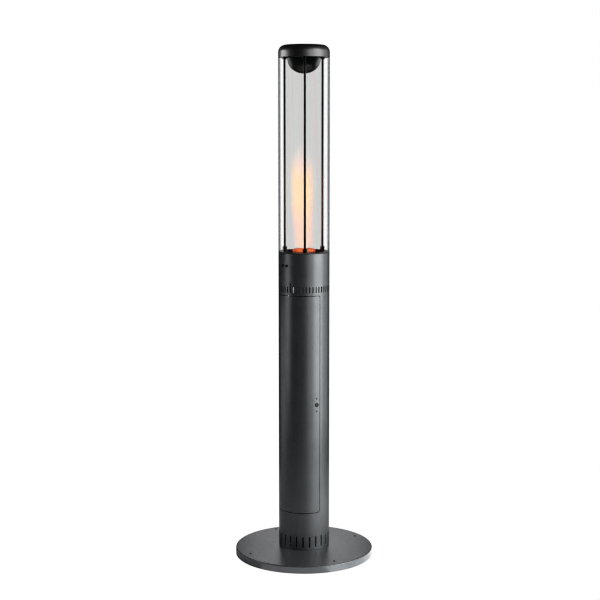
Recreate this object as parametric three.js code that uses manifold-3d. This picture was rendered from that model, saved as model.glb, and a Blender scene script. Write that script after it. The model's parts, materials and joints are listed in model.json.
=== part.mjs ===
// Freestanding gas flame-tower heater: weighted round base, cylindrical column with a
// half-round lockable door, burner housing, glass flame tube on three tie rods, cap.
// Millimetres, +Z up. The origin is the centre of the base, on the ground.
// Azimuths (in degrees) are measured from -Y (the front), positive towards +X.
import * as THREE from 'three';
import { mergeVertices } from 'three/addons/utils/BufferGeometryUtils.js';
import Module from 'manifold-3d';

// ---------------------------------------------------------------- driving dimensions
const GAP = 0.3;                 // standing gap between pieces that touch

const BASE_R = 300;              // base cover, outside radius
const BASE_RIM_H = 32.5;         // height of the cover's outer edge
const BASE_SEAT_Z = 42;          // top of the cover under the column
const BASE_FILLET = 5;           // edge radius of the cover
const SHEET = 1.5;               // column, door, cover and cap sheet
const BALLAST_R = 285;
const BALLAST_T = 9;
const SCREW_PCR = 264.4;         // cover screws, radius of their circle
const SCREW_AZ0 = 119.1;         // azimuth of the first cover screw
const FOOT_BOLT_PCR = 78;        // column foot bolts, radius of their circle

const COL_R = 110;               // column outside radius
const COL_RI = COL_R - SHEET;
const COL_Z0 = BASE_SEAT_Z + GAP;
const COL_Z1 = 1332;
const COL_SEG = 48;
const SLOT_AZ = -2.3;            // azimuth of the first vent slot in both rows
const LOW_SLOTS = 24, LOW_SLOT_W = 7, LOW_SLOT_Z0 = 54, LOW_SLOT_Z1 = 102;
const TOP_SLOTS = 48, TOP_SLOT_W = 6, TOP_SLOT_Z0 = 1166.2, TOP_SLOT_Z1 = 1192;   // places of the upper row
const TOP_SLOT_HALF = 12;        // slots on each side of the first: the back of the housing is closed
const LEVER_SLOT = -4;           // index of the tall slot that the flame lever moves in
const LEVER_SLOT_Z1 = 1210.7;

const DOOR_AZ = 38.2;            // azimuth of the door's free edge; the hinge edge is opposite
const DOOR_Z0 = 206.7, DOOR_Z1 = 1153.1;   // middle of the gap under and over the door
const DOOR_GAP = 3;
const DOOR_CORNER_TOP = 7, DOOR_CORNER_LOW = 13;
const HINGE_R = 114.8;           // hinge axis from the column's axis
const HINGE_Z = [300, 990];      // lower ends of the two hinges
const HINGE_H = 60;
const KNUCKLE_R = 4.5, PIN_R = 2.5;

const LOCK_AZ = 30, LOCK_Z = 682, LOCK_FLANGE_R = 9.25, LOCK_R = 8, PLUG_R = 5.5;
const RIVET_DZ = 27.3;

const SHELF_Z = 196;             // underside of the bottle shelf's plate
const DIVIDER_Z = 1157;          // underside of the plate between bottle and burner housing

const BUTTON_AZ = -48.5, BUTTON_DT = 12, BUTTON_Z = 1280.6, BUTTON_W = 15, BUTTON_H = 10;
const LEVER_PIVOT_R = 62, LEVER_PIVOT_Z = 1189.2, LEVER_REST = 14;

const DECK_Z = 1332.5;             // underside of the burner deck's plate
const DECK_T = 3;
const GLASS_R = 110, GLASS_T = 4, GLASS_Z0 = 1337.3, GLASS_Z1 = 2156.8;
const ROD_PCR = 94, ROD_R = 5, ROD_AZ = [2.2, 122.2, -117.8], ROD_FOOT_R = 9.5, ROD_FOOT_H = 18.5, ROD_SHOULDER_H = 4;
const PLATE_Z = 2156.8, PLATE_T = 2;      // spider that the rods hold, inside the cap's skirt
const CAP_R = 109.6, CAP_Z0 = GLASS_Z1 + GAP, CAP_Z1 = 2209.4, CAP_FILLET = 30.5, CAP_LEDGE_Z = 2161;
const DOME_R = 70.6, DOME_H = 61, DOME_C_Z = 2150.8, DOME_RIM_Z = PLATE_Z - GAP - 0.3;   // deflector: half an ellipsoid
const BURNER_R = 49;

// ---------------------------------------------------------------- helpers
const wasm = await Module();
wasm.setup();
const rad = THREE.MathUtils.degToRad;
const V2 = (x, y) => new THREE.Vector2(x, y);
const V3 = (x, y, z) => new THREE.Vector3(x, y, z);
const out = (az) => V3(Math.sin(rad(az)), -Math.cos(rad(az)), 0);      // outward at an azimuth
const side = (az) => V3(Math.cos(rad(az)), Math.sin(rad(az)), 0);      // towards larger azimuths
const Z = V3(0, 0, 1);

// a closed three.js geometry as a solid
function solid(geometry) {
  let g = geometry.clone();
  for (const name of Object.keys(g.attributes)) if (name !== 'position') g.deleteAttribute(name);
  g = mergeVertices(g, 1e-4);
  const p = g.attributes.position, idx = g.index.array, keep = [];
  let volume = 0;
  const a = V3(), b = V3(), c = V3();
  for (let i = 0; i < idx.length; i += 3) {
    const [i0, i1, i2] = [idx[i], idx[i + 1], idx[i + 2]];
    if (i0 === i1 || i1 === i2 || i2 === i0) continue;
    keep.push(i0, i1, i2);
    a.fromBufferAttribute(p, i0); b.fromBufferAttribute(p, i1); c.fromBufferAttribute(p, i2);
    volume += a.dot(b.cross(c)) / 6;
  }
  if (volume < 0) for (let i = 0; i < keep.length; i += 3) [keep[i + 1], keep[i + 2]] = [keep[i + 2], keep[i + 1]];
  return new wasm.Manifold(new wasm.Mesh({
    numProp: 3, vertProperties: new Float32Array(p.array), triVerts: new Uint32Array(keep),
  }));
}

// a body of revolution about Z from [r, z] pairs; the profile closes on itself or on the axis
function lathe(points, segments = 48, turn = 0) {
  const pts = points.map(([r, z]) => V2(r, z));
  const first = pts[0], last = pts[pts.length - 1];
  if (first.x > 1e-9 || last.x > 1e-9) pts.push(first.clone());
  const g = new THREE.LatheGeometry(pts, segments);
  g.rotateX(Math.PI / 2);
  g.rotateZ(rad(turn));
  return g;
}
const ring = (r0, r1, z0, z1, segments = 48, turn = 0) =>
  lathe([[r0, z0], [r1, z0], [r1, z1], [r0, z1]], segments, turn);
const disc = (r, z0, z1, segments = 24) => lathe([[0, z0], [r, z0], [r, z1], [0, z1]], segments);

// points of an arc in a profile, from angle a0 to a1 in degrees
function arc(cx, cy, r, a0, a1, n) {
  const pts = [];
  for (let i = 0; i <= n; i++) {
    const a = rad(a0 + (a1 - a0) * i / n);
    pts.push([cx + r * Math.cos(a), cy + r * Math.sin(a)]);
  }
  return pts;
}

function extrude(shape, depth, curveSegments = 6) {
  return new THREE.ExtrudeGeometry(shape, { depth, bevelEnabled: false, curveSegments });
}
function rectShape(w, h) {
  const s = new THREE.Shape();
  s.moveTo(-w / 2, -h / 2); s.lineTo(w / 2, -h / 2); s.lineTo(w / 2, h / 2); s.lineTo(-w / 2, h / 2); s.closePath();
  return s;
}
// an upright slot with chamfered ends, centred
function ventShape(w, h, c) {
  const s = new THREE.Shape(), x = w / 2, y = h / 2;
  s.moveTo(x, -y + c); s.lineTo(x, y - c); s.lineTo(x - c, y); s.lineTo(-x + c, y);
  s.lineTo(-x, y - c); s.lineTo(-x, -y + c); s.lineTo(-x + c, -y); s.lineTo(x - c, -y); s.closePath();
  return s;
}
// an upright or lying slot with round ends, centred
function slotShape(w, h) {
  const s = new THREE.Shape();
  if (h >= w) {
    const r = w / 2, y = h / 2 - r;
    s.moveTo(r, -y); s.lineTo(r, y); s.absarc(0, y, r, 0, Math.PI, false);
    s.lineTo(-r, -y); s.absarc(0, -y, r, Math.PI, 2 * Math.PI, false);
  } else {
    const r = h / 2, x = w / 2 - r;
    s.moveTo(-x, -r); s.lineTo(x, -r); s.absarc(x, 0, r, -Math.PI / 2, Math.PI / 2, false);
    s.lineTo(-x, r); s.absarc(-x, 0, r, Math.PI / 2, 1.5 * Math.PI, false);
  }
  return s;
}
// places a geometry built with its local Z axis outward: local X goes sideways, local Y up
function facing(g, az, r, z, t = 0) {
  const o = out(az), s = side(az);
  const m = new THREE.Matrix4().makeBasis(s, Z, o);
  // side x up = outward only when side, up, outward are right-handed
  m.setPosition(o.clone().multiplyScalar(r).add(s.clone().multiplyScalar(t)).add(V3(0, 0, z)));
  const h = g.clone();
  h.applyMatrix4(m);
  return h;
}
// a prism from radius r0 to r1 at an azimuth
const prism = (shape, az, r0, r1, z, t = 0, cs = 3) => facing(extrude(shape, r1 - r0, cs), az, r0, z, t);
// a round rod along the outward direction
function rodOut(radius, az, r0, r1, z, t = 0, segments = 16) {
  const g = new THREE.CylinderGeometry(radius, radius, r1 - r0, segments);
  g.rotateX(Math.PI / 2);
  g.translate(0, 0, (r1 - r0) / 2);
  return facing(g, az, r0, z, t);
}
// a body of revolution about the outward direction, from [radius, distance] pairs
function latheOut(points, az, z, t = 0, segments = 20) {
  return facing(lathe(points, segments), az, 0, z, t);
}
// a round bar along a smooth line through points
function bar(points, radius, steps, sides = 8) {
  const s = new THREE.Shape();
  for (let i = 0; i < sides; i++) {
    const a = 2 * Math.PI * i / sides;
    if (i) s.lineTo(radius * Math.cos(a), radius * Math.sin(a)); else s.moveTo(radius, 0);
  }
  s.closePath();
  const path = new THREE.CatmullRomCurve3(points.map((p) => V3(...p)), false, 'centripetal');
  return new THREE.ExtrudeGeometry(s, { steps, extrudePath: path, bevelEnabled: false });
}
const box = (x0, x1, y0, y1, z0, z1) =>
  new THREE.BoxGeometry(x1 - x0, y1 - y0, z1 - z0).translate((x0 + x1) / 2, (y0 + y1) / 2, (z0 + z1) / 2);
const S = (g) => (g instanceof THREE.BufferGeometry ? solid(g) : g);
const cut = (a, ...bs) => bs.reduce((m, b) => m.subtract(S(b)), S(a));
const join = (a, ...bs) => bs.reduce((m, b) => m.add(S(b)), S(a));
const common = (a, b) => S(a).intersect(S(b));

// ---------------------------------------------------------------- materials
const mat = (color, roughness, metalness, extra = {}) =>
  new THREE.MeshStandardMaterial({ color, roughness, metalness, ...extra });
const M = {
  powder: () => mat(0x4d5154, 0.5, 0.35),
  black: () => mat(0x101114, 0.42, 0.2),
  zinc: () => mat(0xa9adb0, 0.38, 0.9),
  steel: () => mat(0x8d9092, 0.35, 1.0),
  bareSteel: () => mat(0x3a3b3d, 0.7, 0.6),
  rubber: () => mat(0x161616, 0.85, 0.0),
  seal: () => mat(0x1b1b1c, 0.9, 0.0),
  glass: () => mat(0xf2f6f5, 0.04, 0.0, { transparent: true, opacity: 0.2 }),
  glow: () => mat(0xe5743a, 0.7, 0.2, { emissive: 0xff5a1a, emissiveIntensity: 1.5 }),
  brass: () => mat(0xb08d4a, 0.35, 1.0),
  ceramic: () => mat(0xe8e4da, 0.5, 0.0),
  plastic: () => mat(0x0b0b0c, 0.5, 0.0),
  hose: () => mat(0xc4661f, 0.6, 0.0),
  copper: () => mat(0xb4714a, 0.35, 1.0),
};

const heater = new THREE.Group();
function put(name, shape, material, position, rotationZ) {
  const mesh3 = S(shape).getMesh();
  const g = new THREE.BufferGeometry();
  g.setAttribute('position', new THREE.BufferAttribute(new Float32Array(mesh3.vertProperties), 3));
  g.setIndex(new THREE.BufferAttribute(new Uint32Array(mesh3.triVerts), 1));
  g.computeVertexNormals();
  const mesh = new THREE.Mesh(g, material);
  mesh.name = name;
  if (position) mesh.position.copy(position);
  if (rotationZ) mesh.rotation.z = rotationZ;
  heater.add(mesh);
  return mesh;
}

// ---------------------------------------------------------------- base
const coneZ = (r) => BASE_RIM_H + (BASE_SEAT_Z - BASE_RIM_H) * (BASE_R - BASE_FILLET - r) / (BASE_R - BASE_FILLET - 112);
const footBoltAt = [0, 1, 2].map((k) => out(60 + 120 * k).multiplyScalar(FOOT_BOLT_PCR));
const screwAt = [0, 1, 2, 3].map((k) => out(SCREW_AZ0 + 90 * k).multiplyScalar(SCREW_PCR));
const holeAt = (p, r, z0, z1, n = 12) => disc(r, z0, z1, n).translate(p.x, p.y, 0);
{
  const Ri = BASE_R - SHEET;
  const cover = lathe([
    [22, BASE_SEAT_Z], [112, BASE_SEAT_Z],
    ...arc(BASE_R - BASE_FILLET, BASE_RIM_H - BASE_FILLET, BASE_FILLET, 90, 0, 2),
    [BASE_R, 1.5], [Ri, 1.5],
    ...arc(BASE_R - BASE_FILLET, BASE_RIM_H - BASE_FILLET, BASE_FILLET - SHEET, 0, 90, 1),
    [112, BASE_SEAT_Z - SHEET], [22, BASE_SEAT_Z - SHEET],
  ], 52);
  put('base_cover', cut(cover,
    ...footBoltAt.map((p) => holeAt(p, 5.6, 30, 50, 8)),
    ...screwAt.map((p) => holeAt(p, 2.8, 20, 45, 6))), M.powder());

  const ringTop = coneZ(276) - SHEET - 0.5, hubTop = BASE_SEAT_Z - SHEET - GAP;
  const z0 = 4 + GAP, z1 = z0 + BALLAST_T;
  const ballast = lathe([
    [0, z0], [BALLAST_R, z0], [BALLAST_R, z1], [276, z1], [276, ringTop], [252, ringTop], [252, z1],
    [95, z1], [95, hubTop], [0, hubTop]], 36);
  put('base_ballast', cut(ballast,
    ...footBoltAt.map((p) => holeAt(p, 5.7, 14, 60, 8)),
    ...screwAt.map((p) => holeAt(p, 2.9, 15, 45, 6))), M.bareSteel());
  put('base_foot_ring', ring(255, 280, 0, 4, 40), M.rubber());

  // pan-head screws that hold the cover to the ballast's upstand
  const zs = coneZ(SCREW_PCR) + 0.55;
  const screw = lathe([[0, -16], [2.2, -16], [2.2, 0], [5.2, 0], ...arc(0, 0, 5.2, 0, 90, 3).slice(1, -1).map(([r, z]) => [r, z * 0.55]), [0, 2.9]], 12);
  screwAt.forEach((p, k) => put(`base_screw_${k + 1}`, screw, M.steel(), V3(p.x, p.y, zs)));

  // column foot: a disc inside the tube, bolted through the cover into the ballast's hub
  put('column_foot_plate', cut(ring(30, COL_RI - 0.6, COL_Z0, COL_Z0 + 4, 40),
    ...footBoltAt.map((p) => holeAt(p, 5.6, 30, 60, 8))), M.powder());
  const hex = new THREE.CylinderGeometry(9.2, 9.2, 6.4, 6).rotateX(Math.PI / 2).translate(0, 0, 3.2);
  const bolt = join(hex, disc(5, -30, 1, 10));
  footBoltAt.forEach((p, k) => put(`column_bolt_${k + 1}`, bolt, M.zinc(), V3(p.x, p.y, COL_Z0 + 4 + GAP)));
}

// ---------------------------------------------------------------- column and door
const turn = SLOT_AZ + 180 / COL_SEG;      // puts every slot in the middle of one facet
const tubeRing = (z0, z1) => ring(COL_RI, COL_R, z0, z1, COL_SEG, turn);
// door outline: u runs from the parting plane towards the door's middle, then up; swept across the column
function doorBlock(offset) {
  const u0 = offset, z0 = DOOR_Z0 + offset, z1 = DOOR_Z1 - offset, r = DOOR_CORNER_LOW - offset, rt = DOOR_CORNER_TOP - offset;
  const s = new THREE.Shape();
  s.moveTo(u0, z0 + r);
  s.absarc(u0 + r, z0 + r, r, Math.PI, 1.5 * Math.PI, false);
  s.lineTo(130, z0); s.lineTo(130, z1); s.lineTo(u0 + rt, z1);
  s.absarc(u0 + rt, z1 - rt, rt, Math.PI / 2, Math.PI, false);
  s.closePath();
  const g = extrude(s, 280, 5);
  g.translate(0, 0, -140);
  const u = out(DOOR_AZ - 90), v = out(DOOR_AZ);
  g.applyMatrix4(new THREE.Matrix4().makeBasis(u, Z, v.clone().negate()));
  return g;
}
{
  const cutters = [doorBlock(-DOOR_GAP / 2)];
  for (let k = 0; k < LOW_SLOTS; k++)
    cutters.push(prism(ventShape(LOW_SLOT_W, LOW_SLOT_Z1 - LOW_SLOT_Z0, 1.8), SLOT_AZ + k * 360 / LOW_SLOTS, 100, 120, (LOW_SLOT_Z0 + LOW_SLOT_Z1) / 2));
  for (let k = -TOP_SLOT_HALF; k <= TOP_SLOT_HALF; k++) {
    const top = k === LEVER_SLOT ? LEVER_SLOT_Z1 : TOP_SLOT_Z1;
    cutters.push(prism(rectShape(TOP_SLOT_W, top - TOP_SLOT_Z0), SLOT_AZ + k * 360 / TOP_SLOTS, 100, 120, (TOP_SLOT_Z0 + top) / 2));
  }
  for (const t of [-BUTTON_DT, BUTTON_DT])
    cutters.push(prism(slotShape(BUTTON_W, BUTTON_H), BUTTON_AZ, 90, 120, BUTTON_Z, t, 5));
  put('column_tube', cut(tubeRing(COL_Z0, COL_Z1), ...cutters), M.powder());

  put('door_panel', cut(common(tubeRing(DOOR_Z0, DOOR_Z1), doorBlock(DOOR_GAP / 2)),
    rodOut(LOCK_R + 0.4, LOCK_AZ, 95, 120, LOCK_Z),
    rodOut(2.7, LOCK_AZ, 95, 120, LOCK_Z + RIVET_DZ, 0, 12),
    rodOut(2.7, LOCK_AZ, 95, 120, LOCK_Z - RIVET_DZ, 0, 12)), M.powder());
}

// hinges: curved leaves on the outside of column and door, three knuckles, one pin each
{
  const az = DOOR_AZ - 180;                    // the hinge edge
  const H = out(az).multiplyScalar(HINGE_R);
  const sheetRing = (z0, z1) => ring(COL_R + GAP, COL_R + GAP + 2, z0, z1, COL_SEG, turn);
  const H3 = HINGE_H / 3, g = 0.25;
  const strip = (t0, t1, z0, z1) => {          // part of the outer surface beside the hinge line
    const b = box(t0, t1, -20, 20, z0, z1);
    b.applyMatrix4(new THREE.Matrix4().makeBasis(side(az), out(az), Z.clone().negate()).premultiply(new THREE.Matrix4().makeScale(1, 1, -1)));
    b.translate(out(az).x * COL_R, out(az).y * COL_R, 0);
    return b;
  };
  const knuckle = (z0, z1) => disc(KNUCKLE_R, z0, z1, 16).translate(H.x, H.y, 0);
  const bore = (z0) => disc(PIN_R + 0.2, z0 - 5, z0 + HINGE_H + 5, 12).translate(H.x, H.y, 0);
  HINGE_Z.forEach((z, i) => {
    const tag = i ? 'upper' : 'lower';
    const zr = sheetRing(z, z + HINGE_H);
    const doorSpan = join(strip(5.2, 30, z, z + HINGE_H), strip(0, 6, z + H3 + g, z + 2 * H3 - g));
    put(`hinge_leaf_door_${tag}`, cut(join(common(zr, doorSpan), knuckle(z + H3 + g, z + 2 * H3 - g)), bore(z)), M.powder());
    const colSpan = join(strip(-30, -5.2, z, z + HINGE_H), strip(-6, 0, z, z + H3 - g), strip(-6, 0, z + 2 * H3 + g, z + HINGE_H));
    put(`hinge_leaf_column_${tag}`, cut(join(common(zr, colSpan), knuckle(z, z + H3 - g), knuckle(z + 2 * H3 + g, z + HINGE_H)), bore(z)), M.powder());
    put(`hinge_pin_${tag}`, join(disc(PIN_R, z - 1.5, z + HINGE_H + 0.6, 12), disc(4, z + HINGE_H + 0.5, z + HINGE_H + 2.5, 12)).translate(H.x, H.y, 0), M.zinc());
  });
}

// cam lock at the free edge of the door
{
  const a = LOCK_AZ, z = LOCK_Z;
  put('lock_body', latheOut([[PLUG_R + 0.15, 94.5], [LOCK_R, 94.5], [LOCK_R, COL_R + 0.35], [LOCK_FLANGE_R, COL_R + 0.35], [LOCK_FLANGE_R, COL_R + 1.4], [LOCK_FLANGE_R - 1, COL_R + 2.3], [PLUG_R + 0.15, COL_R + 2.3]], a, z, 0, 20), M.steel());
  put('lock_nut', cut(facing(new THREE.CylinderGeometry(11, 11, 4, 6).rotateX(Math.PI / 2).translate(0, 0, 2), a, 101, z), rodOut(LOCK_R + GAP, a, 95, 110, z, 0, 24)), M.zinc());
  put('lock_backplate', cut(prism(rectShape(24, 76), a, 105.5, 107, z),
    rodOut(LOCK_R + 0.4, a, 100, 112, z), rodOut(2.7, a, 100, 112, z + RIVET_DZ, 0, 12), rodOut(2.7, a, 100, 112, z - RIVET_DZ, 0, 12)), M.zinc());
  const rivet = [[0, 103.4], [3.9, 103.4], [3.9, 105.2], [2.4, 105.2], [2.4, COL_R + 0.3], [3.6, COL_R + 0.3], [2.9, COL_R + 1.2], [0, COL_R + 1.6]];
  put('lock_rivet_upper', latheOut(rivet, a, z + RIVET_DZ, 0, 12), M.steel());
  put('lock_rivet_lower', latheOut(rivet, a, z - RIVET_DZ, 0, 12), M.steel());
  // plug with keyway, and the cranked cam on its tail; the cam points up with the door unlocked
  put('lock_plug', cut(latheOut([[0, 88.6], [2.7, 88.6], [2.7, 94.3], [PLUG_R, 94.3], [PLUG_R, COL_R + 2.1], [0, COL_R + 2.1]], a, z, 0, 20),
    prism(rectShape(2, 7.4), a, COL_R - 2, COL_R + 4, z)), M.steel());
  const cam = join(prism(rectShape(14, 18), a, 91.5, 94, z + 2), prism(rectShape(14, 16), a, 91.5, 94, z + 8),
    prism(rectShape(12, 3), a, 91.5, 102.5, z + 14.6), prism(rectShape(12, 15), a, 100, 102.5, z + 20.6));
  put('lock_cam', cut(cam, rodOut(3, a, 85, 96, z, 0, 16)), M.zinc());
}

// bottle shelf, and the plate that parts the bottle space from the burner housing
const HOSE_HOLE = [45.7, 35.71];  // straight above the regulator
{
  const rim = COL_RI - 0.6;
  const holes = [0, 60, 120, 180, 240, 300].map((b) => { const p = out(b).multiplyScalar(66); return holeAt(p, 12, 180, 210, 8); });
  put('bottle_shelf', cut(lathe([[18, SHELF_Z], [rim - 2, SHELF_Z], [rim - 2, SHELF_Z - 14], [rim, SHELF_Z - 14], [rim, SHELF_Z + 2], [18, SHELF_Z + 2]], 40), ...holes), M.zinc());
  put('divider_plate', cut(lathe([[0, DIVIDER_Z], [rim, DIVIDER_Z], [rim, DIVIDER_Z + 8], [rim - 1.5, DIVIDER_Z + 8], [rim - 1.5, DIVIDER_Z + 1.5], [0, DIVIDER_Z + 1.5]], 40),
    disc(6, 1146, 1176, 16).translate(HOSE_HOLE[0], HOSE_HOLE[1], 0),
    disc(5, 1146, 1176, 8).translate(-50, 40, 0), disc(5, 1146, 1176, 8).translate(-65, 10, 0)), M.zinc());
}

// ---------------------------------------------------------------- gas train
{
  const a = SLOT_AZ + LEVER_SLOT * 7.5, zp = LEVER_PIVOT_Z;
  // tap block with the lever's spindle, a neck, and the flame-failure unit behind the safety button
  const tap = prism(rectShape(36, 44), a, 48, 76, zp - 2, 26);
  const spindle = new THREE.CylinderGeometry(4, 4, 16, 16).rotateZ(Math.PI / 2);
  const neck = prism(rectShape(15, 76), BUTTON_AZ, 62, 80, 1244, BUTTON_DT + 1);
  const bridge = prism(rectShape(40, 16), a, 55, 72, 1206, 10);
  const unit = prism(rectShape(18, 34), BUTTON_AZ, 60, 97, BUTTON_Z, BUTTON_DT + 1);
  const inlet = rodOut(8, a, 40, 50, 1181, 26, 6);
  put('gas_valve', cut(join(tap, facing(spindle, a, LEVER_PIVOT_R, zp, 1), bridge, neck, unit, inlet),
    rodOut(3.3, BUTTON_AZ, 82, 99, BUTTON_Z, BUTTON_DT, 12)), M.brass());

  const lever = join(prism(rectShape(3, 7), a, 6, 52.5, 0), facing(new THREE.CylinderGeometry(8, 8, 6, 20).rotateZ(Math.PI / 2), a, 0, 0));
  // turned up about the spindle, then moved to it
  const L = cut(lever, facing(new THREE.CylinderGeometry(4.12, 4.12, 20, 16).rotateZ(Math.PI / 2), a, 0, 0)).getMesh();
  const lg = new THREE.BufferGeometry();
  lg.setAttribute('position', new THREE.BufferAttribute(new Float32Array(L.vertProperties), 3));
  lg.setIndex(new THREE.BufferAttribute(new Uint32Array(L.triVerts), 1));
  lg.applyMatrix4(new THREE.Matrix4().makeRotationAxis(side(a), rad(-LEVER_REST)));
  const pivot = out(a).multiplyScalar(LEVER_PIVOT_R);
  lg.translate(pivot.x, pivot.y, zp);
  put('flame_lever', lg, M.steel());

  // push buttons: an oval cap in the column's opening, a stop flange and a stem
  const face = disc(COL_R - 0.7, 1206, 1356, COL_SEG).rotateZ(rad(turn));
  const button = (t) => join(common(prism(slotShape(BUTTON_W - 0.9, BUTTON_H - 0.9), BUTTON_AZ, 103, 115, BUTTON_Z, t, 5), face),
    prism(slotShape(BUTTON_W + 3, BUTTON_H + 3), BUTTON_AZ, 102.5, 104.5, BUTTON_Z, t, 4), rodOut(3, BUTTON_AZ, 88, 103, BUTTON_Z, t, 12));
  put('igniter_button', button(-BUTTON_DT), M.plastic());
  put('safety_button', button(BUTTON_DT), M.plastic());

  put('piezo_igniter', cut(join(rodOut(8, BUTTON_AZ, 56, 97, BUTTON_Z, -BUTTON_DT, 20), rodOut(10.5, BUTTON_AZ, 92, 95, BUTTON_Z, -BUTTON_DT, 6)),
    rodOut(3.3, BUTTON_AZ, 82, 99, BUTTON_Z, -BUTTON_DT, 12)), M.ceramic());

  // bracket inside the front of the housing that carries valve and igniter, ends hugging the tube
  const inner = ring(COL_RI - 3, COL_RI - 1.2, 1165.6, 1211, COL_SEG, turn);
  const foot = (b, w) => common(inner, prism(rectShape(w, 60), b, 95, 112, 1191));
  const chord = box(-45, 43, -96.5, -95, 1165.6, 1211);
  put('valve_bracket', cut(join(foot(-25.4, 8.5), foot(24.4, 11), chord), prism(rectShape(9, 60), a, 80, 104.2, 1196, 0)), M.zinc());

  // pipe from the tap up to the jet under the mixer
  const p0 = out(a).multiplyScalar(60).add(side(a).multiplyScalar(36));
  put('burner_pipe', join(bar([[p0.x, p0.y, 1209.6], [p0.x, p0.y, 1218], [p0.x * 0.75, p0.y * 0.8, 1225], [p0.x * 0.2, p0.y * 0.3, 1224], [0, 0, 1227], [0, 0, 1235]].map(([x, y, z]) => [x, y, z]), 3, 14, 8),
    disc(7, 1228, 1238, 6)), M.copper());
  put('mixer_tube', cut(lathe([[16.5, 1240], [21, 1240], [15.2, 1254], [14.2, 1266], [14.2, 1333], [12.4, 1333], [12.4, 1266], [13.4, 1254]], 16),
    ...[30, 120, 210, 300].map((b) => rodOut(4, b, 5, 30, 1249, 0, 6))), M.zinc());

  // regulator on the back wall, hose up to the valve
  const rc = out(128).multiplyScalar(58);
  const reg = join(lathe([[0, 1058], [14, 1058], [14, 1066], [30, 1070], [32, 1074], [32, 1088], [28, 1093], [10, 1096], [7, 1096], [7, 1110], [0, 1110]], 16).translate(rc.x, rc.y, 0),
    prism(rectShape(26, 22), 128, 60, 106, 1080));
  put('gas_regulator', reg, M.zinc());
  const hin = out(a).multiplyScalar(38.6).add(side(a).multiplyScalar(26));
  put('gas_hose', bar([[hin.x, hin.y, 1181], [9, -34, 1182], [21, -11, 1191], [32, 10, 1200], [41.5, 27.5, 1196], [45.7, 35.71, 1182], [45.7, 35.71, 1166], [45.7, 35.71, 1140], [rc.x, rc.y, 1110.6]], 5.5, 30, 8), M.hose());

  put('tilt_switch', join(box(-16, 16, 62, 84, 1159.2, 1182), box(-8, 8, 58, 64, 1162, 1174)), M.plastic());

  // spark electrode with its lead, and the flame-failure probe with its lead
  const e0 = V3(3.7, 58, 0), e1 = V3(3.8, 76, 0);
  const pe = out(BUTTON_AZ).multiplyScalar(52).add(side(BUTTON_AZ).multiplyScalar(-BUTTON_DT));
  put('spark_electrode', join(disc(3.6, 1312, 1355, 12).translate(e0.x, e0.y, 0),
    bar([[e0.x, e0.y, 1352], [e0.x, e0.y, 1359], [e0.x * 0.93, e0.y * 0.93, 1361.5], [e0.x * 0.84, e0.y * 0.84, 1361]], 1.2, 6, 6),
    bar([[e0.x, e0.y, 1314], [e0.x, e0.y, 1302], [-40, 40, 1294], [-56, 0, 1288], [pe.x - 6, pe.y + 4, 1286], [pe.x, pe.y, 1280.6], [pe.x + 1.9, pe.y - 1.7, 1280.6]], 1.6, 22, 6)), M.ceramic());
  const pu = out(BUTTON_AZ).multiplyScalar(57).add(side(BUTTON_AZ).multiplyScalar(BUTTON_DT + 1));
  put('flame_probe', join(disc(3, 1320, 1358, 12).translate(e1.x, e1.y, 0),
    bar([[e1.x, e1.y, 1322], [e1.x, e1.y, 1306], [-34, 62, 1290], [-60, 20, 1276], [-60, -10, 1271], [pu.x - 12, pu.y + 18, 1270], [pu.x - 2, pu.y + 4, 1268], [pu.x + 1.3, pu.y - 1.1, 1268]], 1.4, 26, 6)), M.copper());
}

// ---------------------------------------------------------------- burner deck, burner
const rodPos = ROD_AZ.map((b) => out(b).multiplyScalar(ROD_PCR));
{
  const deck = lathe([[19, DECK_Z], [104.9, DECK_Z], [104.9, 1308], [106.4, 1308], [106.4, COL_Z1 + GAP], [COL_R, COL_Z1 + GAP], [COL_R, COL_Z1 + GAP + 1.8],
    [105.7, COL_Z1 + GAP + 1.8], [105.7, DECK_Z + DECK_T], [19, DECK_Z + DECK_T]], 40);
  const air = [];
  for (let k = 0; k < 6; k++) { const p = out(32.5 + 60 * k).multiplyScalar(78); air.push(holeAt(p, 5, 1328, 1341, 6)); }
  const e0 = V3(3.7, 58, 0), e1 = V3(3.8, 76, 0);
  put('burner_deck', cut(deck, ...air, ...rodPos.map((p) => holeAt(p, ROD_R + 0.5, 1322, 1341, 10)),
    holeAt(e0, 4.3, 1322, 1341, 10), holeAt(e1, 3.7, 1322, 1341, 10)), M.black());
  // cup burner with a gently crowned top, open below through its neck
  put('burner_head', lathe([[14.8, 1322], [17.8, 1322], [17.8, DECK_Z + DECK_T + GAP + 1], [46, DECK_Z + DECK_T + GAP], [BURNER_R, DECK_Z + DECK_T + GAP + 2.5], [BURNER_R, 1343.8], [46, 1346.2], [0, 1347.6],
    [0, 1346], [45, 1344.6], [47.4, 1342.9], [47.4, 1339.4], [44, 1338], [14.8, 1338.8]], 24), M.glow());
}

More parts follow.
